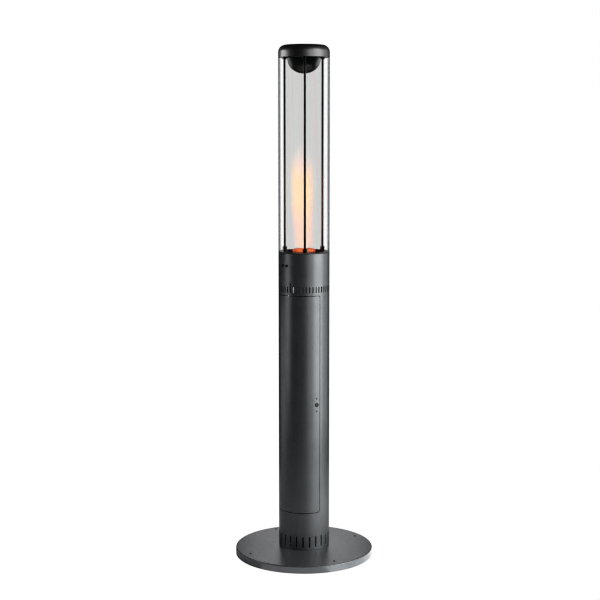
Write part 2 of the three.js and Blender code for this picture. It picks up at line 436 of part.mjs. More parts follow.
// ---------------------------------------------------------------- glass tube, tie rods, cap
{
  put('glass_seal_lower', ring(GLASS_R - GLASS_T + GAP, GLASS_R - GAP, COL_Z1 + GAP + 1.8 + GAP, GLASS_Z0 - GAP, 48), M.seal());
  put('glass_tube', ring(GLASS_R - GLASS_T, GLASS_R, GLASS_Z0, GLASS_Z1, 48), M.glass());
  put('glass_seal_upper', ring(GLASS_R - GLASS_T + GAP, CAP_R - SHEET - 0.8, CAP_Z0, CAP_LEDGE_Z - GAP, 48), M.seal());

  const foot0 = DECK_Z + DECK_T + GAP, top1 = PLATE_Z - GAP;
  const rod = lathe([[0, 1318], [ROD_R, 1318], [ROD_R, foot0], [ROD_FOOT_R, foot0], [ROD_FOOT_R, foot0 + ROD_FOOT_H - 1.5], [ROD_FOOT_R - 1.5, foot0 + ROD_FOOT_H], [ROD_R, foot0 + ROD_FOOT_H],
    [ROD_R, top1 - ROD_SHOULDER_H], [ROD_FOOT_R - 1, top1 - ROD_SHOULDER_H], [ROD_FOOT_R, top1 - ROD_SHOULDER_H + 1], [ROD_FOOT_R, top1], [ROD_R, top1], [ROD_R, 2168.5], [0, 2168.5]], 12);
  const nut = (z) => cut(new THREE.CylinderGeometry(9, 9, 6.5, 6).rotateX(Math.PI / 2).translate(0, 0, z + 3.25), disc(ROD_R + 0.25, z - 1, z + 8, 12));
  rodPos.forEach((p, k) => {
    put(`tie_rod_${k + 1}`, rod, M.black(), V3(p.x, p.y, 0));
    put(`rod_nut_top_${k + 1}`, nut(PLATE_Z + PLATE_T + GAP), M.zinc(), V3(p.x, p.y, 0));
    put(`rod_nut_bottom_${k + 1}`, nut(DECK_Z - GAP - 6.5), M.zinc(), V3(p.x, p.y, 0));
  });

  // head plate: a hub with three arms that carry the rods; the hot gas leaves between them
  const arms = ROD_AZ.map((b) => box(-10.5, 10.5, -ROD_PCR, 0, PLATE_Z, PLATE_Z + PLATE_T).rotateZ(rad(b)));
  const ends = rodPos.map((p) => disc(10.5, PLATE_Z, PLATE_Z + PLATE_T, 16).translate(p.x, p.y, 0));
  put('head_plate', cut(join(disc(38, PLATE_Z, PLATE_Z + PLATE_T, 28), ...arms, ...ends), ...rodPos.map((p) => holeAt(p, ROD_R + 0.5, PLATE_Z - 2, PLATE_Z + 5, 10)), disc(6.6, PLATE_Z - 2, PLATE_Z + 5, 12)), M.black());

  // bowl-shaped deflector hung by its centre stud
  const bowl = (t, n, from, to) => Array.from({ length: n + 1 }, (_, i) => { const w = rad(from + (to - from) * i / n); return [(DOME_R - t) * Math.cos(w), DOME_C_Z + (DOME_H - t) * Math.sin(w)]; });
  const rimAngle = (t) => THREE.MathUtils.radToDeg(Math.asin((DOME_RIM_Z - DOME_C_Z) / (DOME_H - t)));
  put('deflector_dome', cut(lathe([...bowl(0, 9, -90, rimAngle(0)), ...bowl(SHEET, 7, rimAngle(SHEET), -85), [6, DOME_C_Z - DOME_H + 4.5], [6, 2191.4], [0, 2191.4]], 28),
    disc(2.6, 2169.4, 2199.4, 10)), M.black());
  put('dome_nut', cut(new THREE.CylinderGeometry(10, 10, 7, 6).rotateX(Math.PI / 2).translate(0, 0, PLATE_Z + PLATE_T + GAP + 3.5), disc(6.35, 2150, 2175, 12)), M.zinc());

  // cap: spun cover with a wide shoulder, a ledge inside that presses on the glass seal, and a ring of outlet slots
  const ri = CAP_R - SHEET, cz = CAP_Z1 - CAP_FILLET, cr = CAP_R - CAP_FILLET;
  const cap = lathe([[ri, CAP_Z0], [CAP_R, CAP_Z0], ...arc(cr, cz, CAP_FILLET, 0, 90, 5), [3.4, CAP_Z1], [3.4, CAP_Z1 - SHEET], ...arc(cr, cz, CAP_FILLET - SHEET, 90, 0, 3),
    [ri, CAP_LEDGE_Z + SHEET], [104.6, CAP_LEDGE_Z + SHEET], [104.6, CAP_LEDGE_Z], [ri, CAP_LEDGE_Z]], 40);
  const vents = [];
  for (let k = 0; k < 12; k++)
    vents.push(extrude(ventShape(6, 28, 1.8), 20).translate(0, 53, CAP_Z1 - 15).rotateZ(rad(30 * k)));
  put('cap_shell', cut(cap, ...vents), M.black());
  put('cap_screw', lathe([[0, 2175.4], [2.3, 2175.4], [2.3, CAP_Z1 - 2.2], [3.1, CAP_Z1 - 1.4], [3.1, CAP_Z1 - 0.3], [0, CAP_Z1 - 0.3]], 12), M.steel());
}

export default heater;
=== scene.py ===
import json
import math

import bmesh
import bpy
from mathutils import Matrix, Vector, noise

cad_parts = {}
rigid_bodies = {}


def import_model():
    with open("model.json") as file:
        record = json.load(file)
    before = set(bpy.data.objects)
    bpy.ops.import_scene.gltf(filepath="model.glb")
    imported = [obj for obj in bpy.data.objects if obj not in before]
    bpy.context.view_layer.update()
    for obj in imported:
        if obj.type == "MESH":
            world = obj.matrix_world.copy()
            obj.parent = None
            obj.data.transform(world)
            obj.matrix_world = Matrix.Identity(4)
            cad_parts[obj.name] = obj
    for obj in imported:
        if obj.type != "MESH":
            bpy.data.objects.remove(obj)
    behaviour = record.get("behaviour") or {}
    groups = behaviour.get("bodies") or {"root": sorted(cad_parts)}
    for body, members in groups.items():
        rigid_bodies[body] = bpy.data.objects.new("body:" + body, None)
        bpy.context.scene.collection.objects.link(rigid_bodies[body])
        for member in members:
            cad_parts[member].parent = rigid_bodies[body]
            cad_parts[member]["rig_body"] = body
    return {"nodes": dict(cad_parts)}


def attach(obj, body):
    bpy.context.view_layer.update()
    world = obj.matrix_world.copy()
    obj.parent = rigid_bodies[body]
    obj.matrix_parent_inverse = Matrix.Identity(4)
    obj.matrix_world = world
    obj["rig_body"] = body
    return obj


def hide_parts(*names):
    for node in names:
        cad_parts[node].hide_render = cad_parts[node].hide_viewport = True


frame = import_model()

scene = bpy.context.scene
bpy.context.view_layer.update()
NODES = frame["nodes"]
BODY_OF = {n: o["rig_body"] for n, o in NODES.items()}

# ------------------------------------------------------------------ dimensions, in millimetres
SHEET = 1.5
BASE_R, BASE_RIM_H, BASE_SEAT_Z, BASE_FILLET = 300.0, 32.5, 42.0, 5.0
SCREW_PCR, SCREW_AZ0, FOOT_BOLT_PCR = 264.4, 119.1, 78.0
COL_R, COL_RI, COL_Z0, COL_Z1 = 110.0, 108.5, 42.3, 1332.0
SLOT_AZ, LOW_SLOTS = -2.3, 24
LOW_SLOT_W, LOW_SLOT_Z0, LOW_SLOT_Z1 = 7.0, 54.0, 102.0
TOP_SLOT_W, TOP_SLOT_Z0, TOP_SLOT_Z1, LEVER_SLOT_Z1 = 6.0, 1166.2, 1192.0, 1210.7
TOP_SLOT_HALF, LEVER_SLOT = 12, -4
DOOR_AZ, DOOR_Z0, DOOR_Z1, DOOR_GAP, DOOR_CORNER_TOP, DOOR_CORNER_LOW = 38.2, 206.7, 1153.1, 3.0, 7.0, 13.0
HINGE_R, HINGE_Z, HINGE_H, KNUCKLE_R, PIN_R = 114.8, (300.0, 990.0), 60.0, 4.5, 2.5
LOCK_AZ, LOCK_Z, LOCK_R, LOCK_FLANGE_R, PLUG_R, RIVET_DZ = 30.0, 682.0, 8.0, 9.25, 5.5, 27.3
BUTTON_AZ, BUTTON_DT, BUTTON_Z, BUTTON_W, BUTTON_H = -48.5, 12.0, 1280.6, 15.0, 10.0
LEVER_AZ, LEVER_PIVOT_R, LEVER_PIVOT_Z, LEVER_REST = SLOT_AZ - 30.0, 62.0, 1189.2, 14.0
DECK_Z, DECK_T = 1332.5, 3.0
GLASS_R, GLASS_T, GLASS_Z0, GLASS_Z1 = 110.0, 4.0, 1337.3, 2156.8
ROD_AZ, ROD_PCR, ROD_R, ROD_FOOT_R, ROD_FOOT_H, ROD_SHOULDER_H = (2.2, 122.2, -117.8), 94.0, 5.0, 9.5, 18.5, 4.0
PLATE_Z, PLATE_T = 2156.8, 2.0
CAP_R, CAP_Z0, CAP_Z1, CAP_FILLET, CAP_LEDGE_Z = 109.6, 2157.1, 2209.4, 30.5, 2161.0
DOME_R, DOME_H, DOME_C_Z, DOME_RIM_Z = 70.6, 61.0, 2150.8, 2156.2
BURNER_R = 49.0


def out(az):
    a = math.radians(az)
    return Vector((math.sin(a), -math.cos(a), 0))


def side(az):
    a = math.radians(az)
    return Vector((math.cos(a), math.sin(a), 0))


def facing(az, r=0.0, z=0.0, t=0.0):
    """Local Z points outward at an azimuth, local Y up, local X sideways."""
    o, s = out(az), side(az)
    p = o * r + s * t + Vector((0, 0, z))
    return Matrix(((s.x, 0, o.x, p.x), (s.y, 0, o.y, p.y), (0, 1, 0, p.z), (0, 0, 0, 1)))


def at(x, y, z=0.0):
    return Matrix.Translation((x, y, z))


# ------------------------------------------------------------------ mesh building
def arc(cx, cy, r, a0, a1, n):
    return [(cx + r * math.cos(math.radians(a0 + (a1 - a0) * i / n)), cy + r * math.sin(math.radians(a0 + (a1 - a0) * i / n))) for i in range(n + 1)]


def rounded(pts, radius, n=3, closed=True, least=14.0):
    """Rounds the corners of an outline, each by at most 0.45 of its shorter side."""
    got, count = [], len(pts)
    for i, p in enumerate(pts):
        p = Vector(p)
        if not closed and i in (0, count - 1):
            got.append(tuple(p))
            continue
        a, b = Vector(pts[i - 1]), Vector(pts[(i + 1) % count])
        u, v = a - p, b - p
        if u.length < 1e-6 or v.length < 1e-6:
            continue
        turn = 180 - math.degrees(u.angle(v))
        if turn < least:
            got.append(tuple(p))
            continue
        half = u.angle(v) / 2
        reach = min(radius / math.tan(half), 0.45 * u.length, 0.45 * v.length)
        r = reach * math.tan(half)
        s, e = p + u.normalized() * reach, p + v.normalized() * reach
        c = p + (u.normalized() + v.normalized()).normalized() * (r / math.sin(half))
        d0, d1 = s - c, e - c
        for k in range(n + 1):
            f = k / n
            w = d0.lerp(d1, f)
            got.append(tuple(c + w.normalized() * r) if w.length > 1e-9 else tuple(s.lerp(e, f)))
    return got


def lathe(profile, segs=96, m=None, soft=0.0, n=3):
    """A closed body of revolution about Z from (r, z) pairs."""
    pts = [tuple(p) for p in profile]
    closed = pts[0][0] > 1e-9 or pts[-1][0] > 1e-9
    if soft:
        pts = rounded(pts, soft, n, closed)
    bm = bmesh.new()
    rings = []
    for r, z in pts:
        if r < 1e-9:
            rings.append([bm.verts.new((0, 0, z))])
        else:
            rings.append([bm.verts.new((r * math.cos(2 * math.pi * k / segs), r * math.sin(2 * math.pi * k / segs), z)) for k in range(segs)])
    pairs = list(zip(rings, rings[1:]))
    if closed:
        pairs.append((rings[-1], rings[0]))
    for a, b in pairs:
        for k in range(segs):
            j = (k + 1) % segs
            if len(a) == 1 and len(b) == 1:
                continue
            if len(a) == 1:
                bm.faces.new((a[0], b[j], b[k]))
            elif len(b) == 1:
                bm.faces.new((a[k], a[j], b[0]))
            else:
                bm.faces.new((a[k], a[j], b[j], b[k]))
    return done(bm, m)


def done(bm, m=None):
    if m is not None:
        bmesh.ops.transform(bm, matrix=m, verts=bm.verts)
    if bm.calc_volume(signed=True) < 0:
        bmesh.ops.reverse_faces(bm, faces=bm.faces)
    me = bpy.data.meshes.new("part")
    bm.to_mesh(me)
    bm.free()
    return me


def prism(outline, d0, d1, m=None, soft=0.0, n=2, least=40.0):
    """An outline in local XY pulled along local Z, its sharp edges rounded."""
    bm = bmesh.new()
    lo = [bm.verts.new((x, y, d0)) for x, y in outline]
    hi = [bm.verts.new((x, y, d1)) for x, y in outline]
    bm.faces.new(lo[::-1])
    bm.faces.new(hi)
    for i in range(len(lo)):
        j = (i + 1) % len(lo)
        bm.faces.new((lo[i], lo[j], hi[j], hi[i]))
    bmesh.ops.recalc_face_normals(bm, faces=bm.faces)
    if soft:
        sharp = [e for e in bm.edges if len(e.link_faces) == 2 and math.degrees(e.calc_face_angle(0)) > least]
        bmesh.ops.bevel(bm, geom=sharp, offset=soft, segments=n, profile=0.5, affect="EDGES", clamp_overlap=True)
    return done(bm, m)


def rect(w, h, x=0.0, y=0.0):
    return [(x - w / 2, y - h / 2), (x + w / 2, y - h / 2), (x + w / 2, y + h / 2), (x - w / 2, y + h / 2)]


def oval(w, h, n=12):
    if h >= w:
        r = w / 2
        return arc(0, h / 2 - r, r, 0, 180, n) + arc(0, -h / 2 + r, r, 180, 360, n)
    r = h / 2
    return arc(w / 2 - r, 0, r, -90, 90, n) + arc(-w / 2 + r, 0, r, 90, 270, n)


def polygon(r, n, turn=0.0):
    return [(r * math.cos(math.radians(turn) + 2 * math.pi * k / n), r * math.sin(math.radians(turn) + 2 * math.pi * k / n)) for k in range(n)]


def rod(r, d0, d1, m=None, segs=32, soft=0.0):
    return lathe([(0, d0), (r, d0), (r, d1), (0, d1)], segs, m, soft)


def smooth_line(points, step):
    """A centripetal line through points, sampled about every step millimetres."""
    p = [Vector(q) for q in points]
    p = [p[0] * 2 - p[1]] + p + [p[-1] * 2 - p[-2]]
    got = []
    for i in range(1, len(p) - 2):
        a, b, c, d = p[i - 1], p[i], p[i + 1], p[i + 2]
        t0, t1 = 0.0, math.sqrt((b - a).length)
        t2 = t1 + math.sqrt((c - b).length)
        t3 = t2 + math.sqrt((d - c).length)
        n = max(2, int((c - b).length / step))
        for k in range(n):
            t = t1 + (t2 - t1) * k / n
            a1 = a * ((t1 - t) / (t1 - t0)) + b * ((t - t0) / (t1 - t0))
            a2 = b * ((t2 - t) / (t2 - t1)) + c * ((t - t1) / (t2 - t1))
            a3 = c * ((t3 - t) / (t3 - t2)) + d * ((t - t2) / (t3 - t2))
            b1 = a1 * ((t2 - t) / (t2 - t0)) + a2 * ((t - t0) / (t2 - t0))
            b2 = a2 * ((t3 - t) / (t3 - t1)) + a3 * ((t - t1) / (t3 - t1))
            got.append(b1 * ((t2 - t) / (t2 - t1)) + b2 * ((t - t1) / (t2 - t1)))
    got.append(p[-2])
    return got


def tube_along(points, radius, step=2.0, segs=20, ripple=None):
    """A round bar along a line, its ends closed. ripple(s) scales the radius at a length s."""
    line = smooth_line(points, step)
    bm = bmesh.new()
    t = (line[1] - line[0]).normalized()
    u = t.orthogonal().normalized()
    rings, s = [], 0.0
    for i, p in enumerate(line):
        if i:
            s += (p - line[i - 1]).length
        nt = (line[min(i + 1, len(line) - 1)] - line[max(i - 1, 0)]).normalized()
        u = t.rotation_difference(nt) @ u
        t = nt
        v = t.cross(u)
        r = radius * (ripple(s) if ripple else 1.0)
        rings.append([bm.verts.new(p + (u * math.cos(2 * math.pi * k / segs) + v * math.sin(2 * math.pi * k / segs)) * r) for k in range(segs)])
    for a, b in zip(rings, rings[1:]):
        for k in range(segs):
            j = (k + 1) % segs
            bm.faces.new((a[k], a[j], b[j], b[k]))
    bm.faces.new(rings[0][::-1])
    bm.faces.new(rings[-1])
    return done(bm)


def merged(*meshes):
    bm = bmesh.new()
    for me in meshes:
        bm.from_mesh(me)
    got = bpy.data.meshes.new("part")
    bm.to_mesh(got)
    bm.free()
    for me in meshes:
        bpy.data.meshes.remove(me)
    return got


def volume(me):
    bm = bmesh.new()
    bm.from_mesh(me)
    v = bm.calc_volume(signed=True)
    bm.free()
    return v


def boolean(a, b, operation):
    oa, ob = bpy.data.objects.new("tmp_a", a), bpy.data.objects.new("tmp_b", b)
    for o in (oa, ob):
        scene.collection.objects.link(o)
    mod = oa.modifiers.new("b", "BOOLEAN")
    mod.operation, mod.object = operation, ob
    before = volume(a)
    for solver in ("MANIFOLD", "EXACT"):
        mod.solver = solver
        dg = bpy.context.evaluated_depsgraph_get()
        dg.update()
        got = bpy.data.meshes.new_from_object(oa.evaluated_get(dg))
        v = volume(got)
        if len(got.polygons) > 3 and abs(v) > 1e-9 and abs(v - before) > 1e-9:
            break
        print("boolean: solver", solver, "changed nothing, volume", before, v)
    for o in (oa, ob):
        bpy.data.objects.remove(o)
    bpy.data.meshes.remove(a)
    bpy.data.meshes.remove(b)
    return got


def cut(a, *b):
    return boolean(a, merged(*b) if len(b) > 1 else b[0], "DIFFERENCE")


def join(a, *b):
    for x in b:
        a = boolean(a, x, "UNION")
    return a


def common(a, b):
    return boolean(a, b, "INTERSECT")


def piece(name, me, material, body=None, nodes=(), sharp=32.0, keep=True):
    """Makes the shown object, in metres, riding on its body and standing for its CAD nodes."""
    me.transform(Matrix.Scale(0.001, 4))
    me.name = name
    me.materials.clear()
    me.materials.append(material)
    me.shade_smooth()
    me.set_sharp_from_angle(angle=math.radians(sharp))
    o = bpy.data.objects.new(name, me)
    scene.collection.objects.link(o)
    if keep:
        w = o.modifiers.new("normals", "WEIGHTED_NORMAL")
        w.mode, w.keep_sharp, w.weight = "FACE_AREA", True, 60
    nodes = [nodes] if isinstance(nodes, str) else list(nodes)
    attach(o, body or BODY_OF[nodes[0]])
    if nodes:
        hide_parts(*nodes)
    return o


# ------------------------------------------------------------------ materials
def nodes_of(name):
    m = bpy.data.materials.new(name)
    m.use_nodes = True
    nt = m.node_tree
    return m, nt, nt.nodes["Principled BSDF"]


def add(nt, kind, **values):
    n = nt.nodes.new(kind)
    for k, v in values.items():
        if k in n.inputs:
            n.inputs[k].default_value = v
        else:
            setattr(n, k, v)
    return n


def ramp(nt, source, stops, colour=True):
    n = nt.nodes.new("ShaderNodeValToRGB")
    e = n.color_ramp.elements
    while len(e) > 1:
        e.remove(e[-1])
    for i, (p, c) in enumerate(stops):
        s = e[0] if i == 0 else e.new(p)
        s.position = p
        s.color = (*c, 1.0) if colour else (c, c, c, 1.0)
    nt.links.new(source, n.inputs["Fac"])
    return n.outputs["Color"]


def coordinates(nt, scale=(1, 1, 1)):
    c = nt.nodes.new("ShaderNodeTexCoord")
    m = nt.nodes.new("ShaderNodeMapping")
    m.inputs["Scale"].default_value = scale
    nt.links.new(c.outputs["Object"], m.inputs["Vector"])
    return m.outputs["Vector"]


def noise_of(nt, vector, scale, detail=3.0, rough=0.5, distortion=0.0):
    n = nt.nodes.new("ShaderNodeTexNoise")
    n.inputs["Scale"].default_value = scale
    n.inputs["Detail"].default_value = detail
    n.inputs["Roughness"].default_value = rough
    n.inputs["Distortion"].default_value = distortion
    nt.links.new(vector, n.inputs["Vector"])
    return n.outputs["Fac"]


def bump(nt, p, height, strength, distance, after=None):
    b = nt.nodes.new("ShaderNodeBump")
    b.inputs["Strength"].default_value = strength
    b.inputs["Distance"].default_value = distance
    nt.links.new(height, b.inputs["Height"])
    if after is not None:
        nt.links.new(after, b.inputs["Normal"])
    nt.links.new(b.outputs["Normal"], p.inputs["Normal"])
    return b.outputs["Normal"]


def shade(c, k):
    return tuple(x * k for x in c)


def painted(name, c, rough, metallic, grain=1.0, spread=0.10, sparkle=0.0, stretch=(1, 1, 1), specular=0.5):
    """Baked-on powder or enamel: cloudy colour and gloss, and the fine orange-peel skin."""
    m, nt, p = nodes_of(name)
    v = coordinates(nt, stretch)
    cloud = noise_of(nt, v, 9.0, 4.0, 0.6)
    fine = noise_of(nt, v, 700.0, 2.0, 0.5)
    p.inputs["Metallic"].default_value = metallic
    p.inputs["Specular IOR Level"].default_value = specular
    base = ramp(nt, cloud, [(0.30, shade(c, 1 - spread)), (0.70, shade(c, 1 + spread))])
    if sparkle:
        flake = ramp(nt, fine, [(0.45, (0.0, 0.0, 0.0)), (0.75, shade(c, sparkle))])
        mix = nt.nodes.new("ShaderNodeMix")
        mix.data_type, mix.blend_type = "RGBA", "ADD"
        mix.inputs["Factor"].default_value = 1.0
        nt.links.new(base, mix.inputs[6])
        nt.links.new(flake, mix.inputs[7])
        base = mix.outputs[2]
    nt.links.new(base, p.inputs["Base Color"])
    gloss = noise_of(nt, v, 55.0, 3.0, 0.6)
    nt.links.new(ramp(nt, gloss, [(0.3, rough - 0.035), (0.7, rough + 0.035)], False), p.inputs["Roughness"])
    peel = noise_of(nt, v, 420.0, 2.0, 0.55)
    bump(nt, p, peel, 0.10 * grain, 0.0006)
    return m


def metal(name, c, rough, brushed=None, spangle=0.0, scale=1.0, spread=0.12):
    """Bare or plated metal with fine machining lines or zinc spangle."""
    m, nt, p = nodes_of(name)
    p.inputs["Metallic"].default_value = 1.0
    v = coordinates(nt, brushed or (1, 1, 1))
    lines = noise_of(nt, v, 260.0 * scale, 4.0, 0.6)
    cloud = noise_of(nt, coordinates(nt), 40.0 * scale, 3.0, 0.55)
    shown = cloud
    if spangle:
        cells = nt.nodes.new("ShaderNodeTexVoronoi")
        cells.inputs["Scale"].default_value = 160.0 * scale
        nt.links.new(coordinates(nt), cells.inputs["Vector"])
        split = nt.nodes.new("ShaderNodeSeparateColor")
        nt.links.new(cells.outputs["Color"], split.inputs[0])
        shown = split.outputs[0]
        spread = spangle
    nt.links.new(ramp(nt, shown, [(0.25, shade(c, 1 - spread)), (0.8, shade(c, 1 + spread))]), p.inputs["Base Color"])
    nt.links.new(ramp(nt, lines, [(0.3, max(0.05, rough - 0.07)), (0.7, rough + 0.09)], False), p.inputs["Roughness"])
    bump(nt, p, lines, 0.06, 0.0003)
    return m


def dull(name, c, rough, grain=0.25, scale=600.0, spread=0.15, distance=0.0004, sheen=0.0, specular=0.5):
    """Rubber, plastic, fibre or ceramic."""
    m, nt, p = nodes_of(name)
    v = coordinates(nt)
    cloud, fine = noise_of(nt, v, 45.0, 4.0, 0.6), noise_of(nt, v, scale, 3.0, 0.6)
    nt.links.new(ramp(nt, cloud, [(0.3, shade(c, 1 - spread)), (0.7, shade(c, 1 + spread))]), p.inputs["Base Color"])
    nt.links.new(ramp(nt, fine, [(0.3, rough - 0.06), (0.7, min(1.0, rough + 0.06))], False), p.inputs["Roughness"])
    p.inputs["Sheen Weight"].default_value = sheen
    p.inputs["Specular IOR Level"].default_value = specular
    bump(nt, p, fine, grain, distance)
    return m


ANTHRACITE = (0.088, 0.094, 0.098)
M = {
    "column": painted("column_powder_coat", ANTHRACITE, 0.34, 0.80, grain=1.0, sparkle=0.06),
    "base": painted("base_powder_coat", shade(ANTHRACITE, 1.0), 0.335, 0.60, grain=0.4, sparkle=0.03),
    "cap": painted("cap_enamel", (0.0012, 0.0012, 0.0013), 0.36, 0.0, grain=0.6, spread=0.2, specular=0.9),
    "dome": painted("deflector_enamel", (0.0035, 0.0035, 0.0037), 0.36, 0.0, grain=0.8, spread=0.25),
    "rod": painted("rod_enamel", (0.004, 0.0038, 0.0038), 0.36, 0.0, grain=0.8, spread=0.25, stretch=(1, 1, 0.2)),
    "deck": painted("deck_enamel", (0.011, 0.0105, 0.0105), 0.42, 0.1, grain=1.5, spread=0.3),
    "zinc": metal("zinc_plate", (0.52, 0.54, 0.56), 0.36, spangle=0.10),
    "steel": metal("screw_steel", (0.42, 0.43, 0.44), 0.30, brushed=(1, 1, 3), scale=2.0),
    "base_screw": metal("base_screw_dark", (0.13, 0.13, 0.135), 0.32, brushed=(1, 1, 3), scale=2.0),
    "nickel": metal("lock_black_nickel", (0.022, 0.022, 0.023), 0.34, scale=2.5),
    "brass": metal("valve_brass", (0.62, 0.43, 0.17), 0.30, brushed=(1, 1, 2)),
    "copper": metal("copper_pipe", (0.66, 0.33, 0.20), 0.28, brushed=(1, 1, 1)),
    "ballast": metal("ballast_steel", (0.10, 0.095, 0.09), 0.62, scale=0.4, spread=0.3),
    "lever": metal("lever_steel", (0.40, 0.41, 0.42), 0.30, brushed=(0.2, 0.2, 3)),
    "rubber": dull("foot_rubber", (0.016, 0.016, 0.016), 0.78, grain=0.4, scale=900.0),
    "seal": dull("glass_seal_fibre", (0.020, 0.019, 0.018), 0.9, grain=0.8, scale=1100.0, sheen=0.2),
    "plastic": dull("black_plastic", (0.010, 0.010, 0.0105), 0.42, grain=0.18, scale=1400.0),
    "button": dull("button_plastic", (0.0035, 0.0035, 0.0037), 0.68, grain=0.15, scale=1400.0, specular=0.06),
    "ceramic": dull("igniter_ceramic", (0.55, 0.53, 0.49), 0.32, grain=0.12, scale=500.0, spread=0.06),
    "hose": dull("gas_hose_rubber", (0.62, 0.16, 0.022), 0.55, grain=0.35, scale=900.0, spread=0.08),
}


def glow_material():
    """Perforated burner steel at red heat, hotter in patches."""
    m, nt, p = nodes_of("burner_glow")
    v = coordinates(nt)
    patches = noise_of(nt, v, 26.0, 3.0, 0.6)
    fine = noise_of(nt, v, 420.0, 3.0, 0.6)
    nt.links.new(ramp(nt, fine, [(0.3, (0.05, 0.03, 0.025)), (0.7, (0.13, 0.07, 0.05))]), p.inputs["Base Color"])
    p.inputs["Metallic"].default_value = 0.6
    nt.links.new(ramp(nt, fine, [(0.3, 0.5), (0.7, 0.7)], False), p.inputs["Roughness"])
    nt.links.new(ramp(nt, patches, [(0.30, (0.42, 0.035, 0.012)), (0.48, (0.72, 0.085, 0.020)), (0.66, (0.92, 0.21, 0.040))]), p.inputs["Emission Color"])
    p.inputs["Emission Strength"].default_value = 1.0
    bump(nt, p, fine, 0.3, 0.0004)
    m.cycles.emission_sampling = "NONE"
    return m


def glass_material():
    """Clear borosilicate: faint grey body, mirror-like at the grazing edges, drawn streaks along its length. Its
    see-through tint carries painted light: a nearly clear band part-way to the edge is a painted highlight, and the
    darkening at the grazing edge is partly the longer path through the wall and partly painted shade standing in for
    refraction.
    """
    m, nt, p = nodes_of("flame_glass")
    facing_ = nt.nodes.new("ShaderNodeLayerWeight")
    facing_.inputs["Blend"].default_value = 0.5
    v = coordinates(nt, (1, 1, 0.02))
    streak = noise_of(nt, v, 95.0, 2.0, 0.5)
    clear = nt.nodes.new("ShaderNodeBsdfTransparent")
    # see-through tint by facing: grey in the middle, then a painted highlight band (facing 0.35 to 0.59) where it is
    # nearly clear, then darkening to half at the grazing edge, partly the longer path through the wall and partly
    # painted shade standing in for refraction
    body = ramp(nt, facing_.outputs["Facing"], [(0.0, (0.922, 0.923, 0.923)), (0.29, (0.925, 0.926, 0.926)), (0.35, (0.992, 0.992, 0.992)), (0.59, (0.995, 0.995, 0.995)),
                                                (0.64, (0.90, 0.902, 0.905)), (0.70, (0.76, 0.762, 0.765)), (0.77, (0.64, 0.645, 0.65)), (0.86, (0.52, 0.525, 0.53)), (1.0, (0.5, 0.505, 0.51))])
    tint = ramp(nt, streak, [(0.35, (0.975, 1.0, 0.985)), (0.5, (0.995, 0.995, 0.995)), (0.62, (1.0, 0.975, 0.98))])
    mix = nt.nodes.new("ShaderNodeMix")
    mix.data_type, mix.blend_type = "RGBA", "MULTIPLY"
    mix.inputs["Factor"].default_value = 1.0
    nt.links.new(body, mix.inputs[6])
    nt.links.new(tint, mix.inputs[7])
    nt.links.new(mix.outputs[2], clear.inputs["Color"])
    p.inputs["Base Color"].default_value = (0.95, 0.96, 0.96, 1)
    p.inputs["Metallic"].default_value = 1.0
    nt.links.new(ramp(nt, streak, [(0.3, 0.02), (0.7, 0.05)], False), p.inputs["Roughness"])
    mirror = ramp(nt, facing_.outputs["Facing"], [(0.0, 0.03), (0.3, 0.035), (0.5, 0.06), (0.66, 0.11), (0.74, 0.16), (0.83, 0.26), (0.91, 0.45), (1.0, 0.9)], False)
    both = nt.nodes.new("ShaderNodeMixShader")
    nt.links.new(mirror, both.inputs["Fac"])
    nt.links.new(clear.outputs["BSDF"], both.inputs[1])
    nt.links.new(p.outputs["BSDF"], both.inputs[2])
    nt.links.new(both.outputs["Shader"], nt.nodes["Material Output"].inputs["Surface"])
    return m


M["glow"] = glow_material()
M["glass"] = glass_material()


# ------------------------------------------------------------------ base
def cone_z(r):
    return BASE_RIM_H + (BASE_SEAT_Z - BASE_RIM_H) * (BASE_R - BASE_FILLET - r) / (BASE_R - BASE_FILLET - 112)


foot_bolts = [out(60 + 120 * k) * FOOT_BOLT_PCR for k in range(3)]
screws = [out(SCREW_AZ0 + 90 * k) * SCREW_PCR for k in range(4)]
hole = lambda p, r, z0, z1, n=24: rod(r, z0, z1, at(p.x, p.y), n)

Ri = BASE_R - SHEET
cover = [(22, BASE_SEAT_Z), (112, BASE_SEAT_Z)]
cover += [(r, cone_z(r)) for r in (150, 200, 250)]
cover += arc(BASE_R - BASE_FILLET, BASE_RIM_H - BASE_FILLET, BASE_FILLET, 88, 0, 10)
cover += [(BASE_R, 2.0), (BASE_R - 0.5, 1.5), (Ri + 0.5, 1.5), (Ri, 2.0)]
cover += arc(BASE_R - BASE_FILLET, BASE_RIM_H - BASE_FILLET, BASE_FILLET - SHEET, 0, 88, 5)
cover += [(112, BASE_SEAT_Z - SHEET), (22, BASE_SEAT_Z - SHEET)]
piece("base_cover_skin", cut(lathe(cover, 288), *[hole(p, 5.6, 30, 50) for p in foot_bolts], *[hole(p, 2.8, 20, 45) for p in screws]),
      M["base"], nodes="base_cover", sharp=28)

ring_top, hub_top = cone_z(276) - SHEET - 0.5, BASE_SEAT_Z - SHEET - 0.3
ballast = [(0, 4.3), (285, 4.3), (285, 13.3), (276, 13.3), (276, ring_top), (252, ring_top), (252, 13.3), (95, 13.3), (95, hub_top), (0, hub_top)]
piece("base_ballast_plate", lathe(ballast, 120, soft=1.2), M["ballast"], nodes="base_ballast")
foot = [(255, 0.8), (257, 0)] + [(257 + 21 * k / 12, 0.0 if k % 2 == 0 else 0.7) for k in range(1, 12)] + [(278, 0), (280, 0.8), (280, 4), (255, 4)]
piece("base_foot_ring_pad", lathe(foot, 160), M["rubber"], nodes="base_foot_ring")

